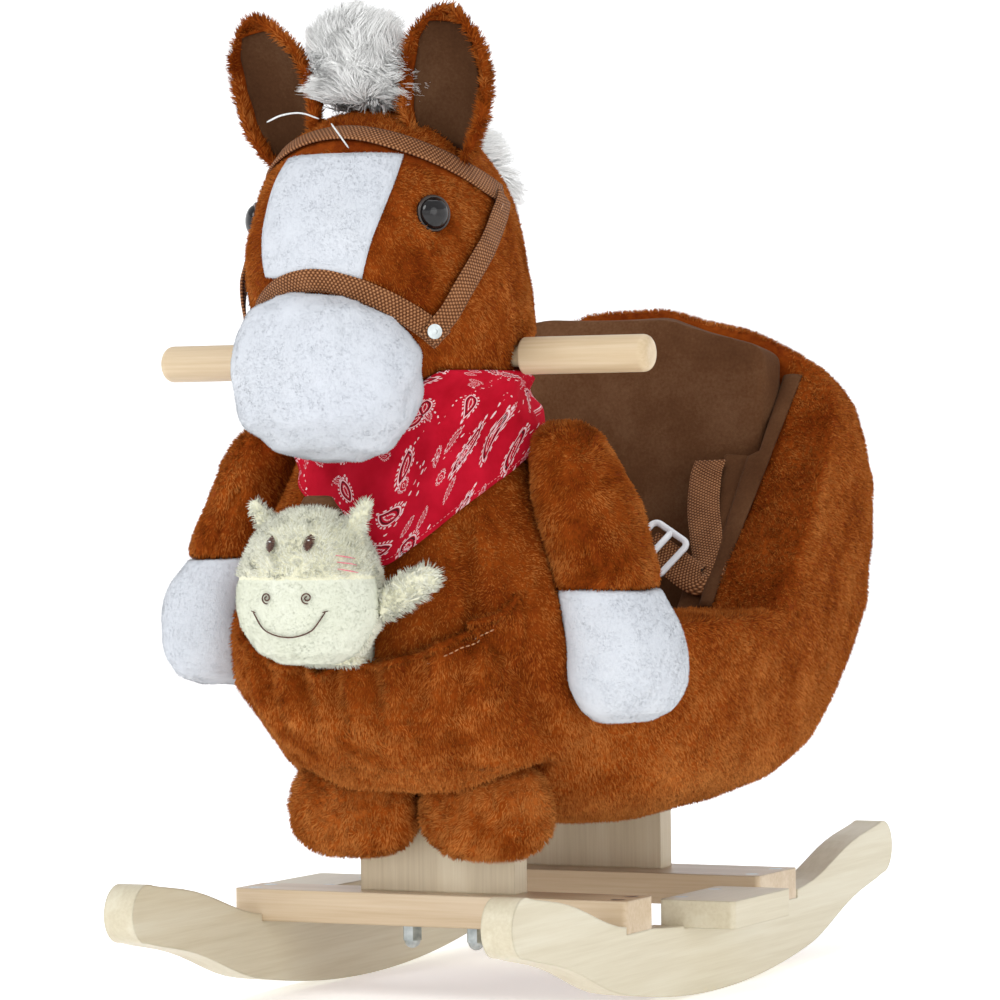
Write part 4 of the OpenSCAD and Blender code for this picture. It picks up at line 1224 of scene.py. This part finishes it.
def make_mane():
    up_and_out, back = (0, -0.1, 0.8), (0, 0.3, 0.1)
    for name, seed, droop, length, inset, lift in (
        ("forelock", 31, (0.25, 0.1, 0.0), 0.0185, 0.0065, up_and_out),
        ("neck_mane", 37, (0.2, 0.8, -0.6), 0.02, 0.004, back),
        ("tail", 41, (0, 0.3, -1), 0.022, 0.004, back),
    ):
        core = dress(skin_over(f"{name}_core", [name], 0.0025, 3), "mane")
        co = points(core)
        move_points(core, co - normals(core) * inset)
        for k in range(2):
            root, normal = scatter(core, 0.0007, seed + k, cap=7600)
            way = unit(normal * 0.9 + np.array(lift))
            dress(fibres(f"{name}_fibres_{k + 1}", root, way, length, 0.00036, droop, seed + 3 * k), "mane")
    beside = [(-0.012, -0.223, 0.487), (-0.02, -0.229, 0.49), (-0.03, -0.232, 0.489), (-0.04, -0.23, 0.486)]
    below = [(-0.004, -0.224, 0.484), (0.003, -0.2275, 0.477), (0.009, -0.229, 0.47)]
    lines = [resample(line, 0.002) for line in (beside, below)]
    dress(thread("forelock_thread_ends", lines, 0.0005), "white_thread")


def band_path(head, front_z, drop, reach, out, count=60):
    path, ups = [], []
    for t in np.linspace(-reach, reach, count):
        p, n = head.at(t, front_z - drop * (1 - math.cos(math.radians(t))), out)
        path.append(p)
        ups.append(n)
    path = smooth_line(path, 2)
    return path, smooth_line(ups, 8)


def make_halter(head):
    wide, thick, lift = 0.013, 0.0016, 0.0022
    for name, numbers in (("browband", (0.4775, 0.027, 100)), ("noseband", (0.3995, 0.1, 47))):
        band = dress(strap(f"{name}_webbing", *band_path(head, *numbers, lift), wide, thick), "webbing")
        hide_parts(name)
    for side, label in SIDES:
        path, ups = [], []
        for s in np.linspace(-0.035, 1.02, 40):
            p, n = head.at(side * (43 + 53 * s), 0.371 + 0.072 * s, lift + 0.0022)
            path.append(p)
            ups.append(n)
        ups = smooth_line(ups, 8)
        cheek = dress(strap(f"cheek_strap_{label}", path, ups, wide, thick), "webbing")
        if side > 0:
            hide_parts("cheek_straps")
        rows = []
        for dz in (0.0035, -0.0035):
            lift_up = Vector((0, 0, dz))
            rows.append([Vector(path[k]) + Vector(unit(ups[k])) * 0.0011 + lift_up for k in (33, 34, 35)])
        dress(thread(f"cheek_strap_tack_{label}", rows, 0.0003), "tan_thread")


def make_arms():
    for side, label in SIDES:
        limb = f"{label}_limb"
        arm = dress(skin_over(f"arm_{label}_skin", [f"arm_{label}"], 0.003, 3), "brown_under", limb)
        lumps(arm, 0.05, 0.0008, 50 + side)
        dart = [(side * 0.098, -0.166, 0.287), (side * 0.108, -0.169, 0.266), (side * 0.121, -0.166, 0.242)]
        groove(arm, dart, 0.0045, 0.0026)
        pile(f"arm_{label}_pile", arm, limb, "brown_plush", 0.0011, 0.003, seed=52 + side)
        raised = 0 if side > 0 else 0.018
        hoof = dress(skin_over(f"hoof_{label}_skin", [f"hoof_{label}"], 0.0024, 4), "white_plush", limb)
        lumps(hoof, 0.05, 0.0007, 60 + side)
        middle = Vector((side * 0.149, -0.157, 0.173 + raised))
        for dx, dy, dz in (
            (0, -0.008, -0.024), (0.014, 0.004, -0.02), (-0.016, -0.006, -0.012),
            (-0.004, -0.004, 0.014), (0.008, 0.008, 0.006)
        ):
            end = middle + Vector((side * dx, dy, dz))
            groove(hoof, [middle, (middle + end) / 2, end], 0.0012, 0.0022)
        pile(f"hoof_{label}_nap", hoof, limb, "white_plush", 0.00095, seed=64 + side, **NAP)


def make_feet():
    for side, label in SIDES:
        foot = dress(
            skin_over(f"foot_{label}_skin", [f"foot_{label}"], 0.003, 3), "brown_under", f"{label}_foot"
        )
        pile(
            f"foot_{label}_pile", foot, f"{label}_foot", "brown_plush", 0.0011, 0.0034, lean=0.6,
            seed=72 + side
        )


def make_pad(name, shrink, cap):
    pad = dress(skin_over(f"{name}_cloth", [name], 0.005, 2), "suede")
    move_points(pad, points(pad) - normals(pad) * shrink)
    swell(pad, 4, cap)
    refine(pad)
    lumps(pad, 0.07, 0.0009, len(name))


def make_seat():
    make_pad("seat_cushion", 0.003, 0.005)
    make_pad("backrest_pad", 0.002, 0.003)
    for label in ("left", "right"):
        make_pad(f"wing_pad_{label}", 0.0015, 0.002)
    return [make_trim(1, "left"), make_trim(-1, "right")]


def make_trim(side, label):
    """The suede that wraps from the seat's side onto its plush rim, widest at the top."""
    rows, cols = 40, 9
    grid = np.zeros((rows, cols, 3))
    lean = unit(np.array((0, -0.75, 0.66)))
    for i in range(rows):
        y = 27 + 119 * i / (rows - 1)
        z = 213 + (y - 25) * 1.136
        outer = 107.5 + 10 * max(0, z - 220) / 130
        inner = 99 if y < 106 else 105.5
        for j in range(cols):
            across = j / (cols - 1)
            crown = 0.0022 + 0.0012 * math.sin(math.pi * across)
            grid[i, j] = np.array((side * (inner + (outer - inner) * across), y, z)) * MM + lean * crown
    if side < 0:
        grid = grid[:, ::-1]
    trim = dress(sheet_from(f"seat_trim_{label}", grid, 0.0014), "suede")
    grid_area(grid)
    return trim


def lay_strap(name, route, facing):
    """Webbing along a route; facing is its face direction at each point of the route."""
    path = resample(route, 0.0012)
    marks = np.linspace(0, 1, len(facing))
    ups = np.stack(
        [np.interp(np.linspace(0, 1, len(path)), marks, np.array(facing)[:, k]) for k in range(3)],
        axis=1
    )
    ahead = unit(np.gradient(path, axis=0))
    ups = unit(ups - ahead * (ups * ahead).sum(axis=1, keepdims=True))
    belt = dress(strap(f"{name}_webbing", path, ups, 0.02, 0.0017), "webbing")
    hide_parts(name)
    return path, ups


def make_belts():
    slope, free = (0.0, -0.75, 0.66), (0.35, -0.85, 0.35)
    left = [(0.076, 0.1, 0.301), (0.0765, 0.092, 0.2925), (0.081, 0.077, 0.2745), (0.0895, 0.061, 0.2565),
            (0.0975, 0.0475, 0.2415), (0.0995, 0.0415, 0.2345), (0.0955, 0.0385, 0.2315),
            (0.088, 0.0395, 0.2345), (0.0795, 0.042, 0.2395), (0.072, 0.0445, 0.244),
            (0.064, 0.046, 0.249), (0.0575, 0.0475, 0.2525)]
    path, ups = lay_strap("belt_left", left, [slope] * 8 + [free] * 4)
    right = [(-0.0757, 0.096, 0.3), (-0.0755, 0.09, 0.283), (-0.0757, 0.078, 0.25), (-0.0745, 0.066, 0.22),
             (-0.067, 0.06, 0.2105), (-0.054, 0.056, 0.209), (-0.04, 0.053, 0.2085)]
    lay_strap("belt_right", right, [(1, 0, 0)] * 3 + [(0.9, 0, 0.4), (0.4, 0, 0.9), (0, 0, 1), (0, 0, 1)])
    make_buckle(Vector(path[-8]), Vector(unit(path[-3] - path[-14])), Vector(ups[-8]))


def make_buckle(centre, along, face):
    """A rounded white ring with a middle bar that the strap passes behind."""
    across = face.cross(along).normalized()
    face = along.cross(across).normalized()
    half_w, half_h, corner, bar = 0.0135, 0.0138, 0.004, 0.0021
    rim = []
    for qx, qy, start in ((1, 1, 0), (-1, 1, 90), (-1, -1, 180), (1, -1, 270)):
        for a in np.linspace(start, start + 90, 7):
            x = qx * (half_w - corner) + corner * math.cos(math.radians(a))
            y = qy * (half_h - corner) + corner * math.sin(math.radians(a))
            rim.append((x, y))
    lift = face * 0.0026
    ring = [centre + along * x + across * y + lift for x, y in rim]
    sides, count = 10, len(ring)
    section = [(bar * math.cos(a), bar * 0.8 * math.sin(a)) for a in round_steps(sides)]
    verts, faces = [], []
    for i, p in enumerate(ring):
        ahead = (ring[(i + 1) % count] - ring[i - 1]).normalized()
        out = ahead.cross(face)
        verts += [p + out * a + face * b for a, b in section]
    for i in range(count):
        for j in range(sides):
            here, after, turn = i * sides, (i + 1) % count * sides, (j + 1) % sides
            faces.append((here + j, here + turn, after + turn, after + j))
    start = len(verts)
    for y in (-half_h, 0, half_h):
        verts += [centre + across * y + lift * 1.1 + along * a + face * b for a, b in section]
    for here in (start, start + sides):
        for j in range(sides):
            turn = (j + 1) % sides
            faces.append((here + j, here + turn, here + sides + turn, here + sides + j))
    faces += [
        tuple(range(start + sides - 1, start - 1, -1)),
        tuple(range(start + 2 * sides, start + 3 * sides))
    ]
    buckle = dress(poly("belt_buckle_ring", verts, faces), "buckle")
    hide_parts("belt_buckle")


def spiral(centre, radius, turns, skin, out):
    line = []
    for a in np.linspace(0, turns * 2 * math.pi, 36):
        r = radius * (0.15 + 0.85 * a / (turns * 2 * math.pi))
        x, z = centre[0] + r * math.cos(a + 1.2), centre[1] + r * math.sin(a + 1.2)
        line.append(skin.front(x, z, out)[0])
    return line


def make_pony():
    head = dress(skin_over("pony_head_skin", ["pony_head"], 0.0018, 3), "cream_under", "pony")
    face = Skin([head])
    seam_z = 0.2405
    head.data.materials.append(LOOKS["cream_velboa"])
    for f in head.data.polygons:
        if f.center.z < seam_z:
            f.material_index = 1

    def upper(root, normal):
        return (root[:, 2] > seam_z + 0.001) | ((root[:, 1] > -0.238) & (root[:, 2] > 0.2))

    pile(
        "pony_head_pile", head, "pony", "cream_plush", 0.0011, 0.0036, width=0.0005, lay=(0, 0.2, 0.6),
        lean=0.5, seed=80, keep=upper
    )

    def lower(root, normal):
        return root[:, 2] < seam_z - 0.001

    pile(
        "pony_muzzle_nap", head, "pony", "cream_velboa", 0.0011, 0.001, width=0.0003, lean=0.7, seed=81,
        keep=lower, puff=0.08
    )
    for name, look, length in (("pony_body", "cream_under", 0.003), ("pony_arm", "cream_under", 0.005)):
        part = dress(skin_over(f"{name}_skin", [name], 0.002, 2), look, "pony")
        pile(
            f"{name}_pile", part, "pony", "cream_plush", 0.0013, length, width=0.0005,
            lay=(0.7, 0, 0.4), seed=len(name)
        )
    mane = dress(skin_over("pony_mane_cloth", ["pony_mane"], 0.0014, 3), "suede", "pony")
    lumps(mane, 0.012, 0.0005, 6)
    brown, pink = [], []
    eyes = ((-0.0187, 0.258), (0.0014, 0.2585))
    for x, z in eyes:
        for k in np.linspace(-1, 1, 13):
            half = 0.0026 * math.sqrt(max(0.04, 1 - k * k))
            brown.append([face.front(x + half * s, z + 0.0038 * k, 0.0034)[0] for s in (-1, -0.3, 0.3, 1)])
    glints = [
        [face.front(x + 0.0006 * s - 0.0002, z + 0.001, 0.0042)[0] for s in (-1, 0, 1)] for x, z in eyes
    ]
    for x in (-0.0198, 0.0031):
        brown.append(spiral((x, 0.231), 0.0031, 1.6, face, 0.0011))
    smile = [(-0.0289, 0, 0.2235), (-0.0215, 0, 0.2138), (-0.0081, 0, 0.2105), (0.0045, 0, 0.2142),
             (0.0118, 0, 0.2235)]
    brown.append([face.front(p[0], p[2], 0.0011)[0] for p in resample(smile, 0.0012)])
    for x, tilt in ((0.0118, 0.0004), (-0.0289, -0.0004)):
        brown.append([face.front(x + 0.0014 * s, 0.2238 + tilt * s, 0.0011)[0] for s in (-1, 0, 1)])
    for k in (-1, 0, 1):
        line = []
        for s in (0, 0.35, 0.7, 1):
            spot = (0.0165 + 0.006 * s, -0.263 + 0.009 * s, 0.2495 - 0.004 * k - 0.0025 * s)
            line.append(face.near(spot, 0.0036)[0])
        pink.append(line)
    dress(thread("pony_face_stitching", brown, 0.00042), "brown_thread", "pony")
    dress(thread("pony_eye_glints", glints, 0.0004), "white_thread", "pony")
    dress(thread("pony_cheek_stitches", pink, 0.0004), "pink_thread", "pony")


def build():
    make_camera()
    make_studio()
    make_floor()
    finish_wood()
    body, head = make_body(), make_head()
    torso, skull = Skin([body], CHEST_OVAL), Skin([head], HEAD_OVAL)
    pocket, hem = make_pocket(torso)
    bandana = make_bandana(Skin([body, head]))
    make_knot()
    make_muzzle()
    blaze = make_blaze(skull)
    make_eyes()
    make_ears()
    make_mane()
    make_halter(skull)
    make_arms()
    make_feet()
    trims = make_seat()
    make_belts()
    make_pony()
    grow_body(body, [pocket, bandana, *trims])
    pile(
        "pocket_pile", pocket, "horse", "brown_plush", 0.0011, 0.003, lay=(0, 0.1, -1), seed=90,
        keep=lambda p, n: n[:, 1] < 0.1
    )
    pile("pocket_hem_pile", hem, "horse", "brown_plush", 0.001, 0.003, seed=91)
    beside_head = HALTER + ["handle_grips", "handle_rod", "neck_board", "eyes", "muzzle"]
    covers = Skin(nodes_named(beside_head) + [blaze, bandana])
    pile_parts(
        "head_pile", head, "horse", "brown_plush", 2, 0.0011, 0.0026, covers.bare(0.004),
        lay=(0, 0.4, -1)
    )


build()
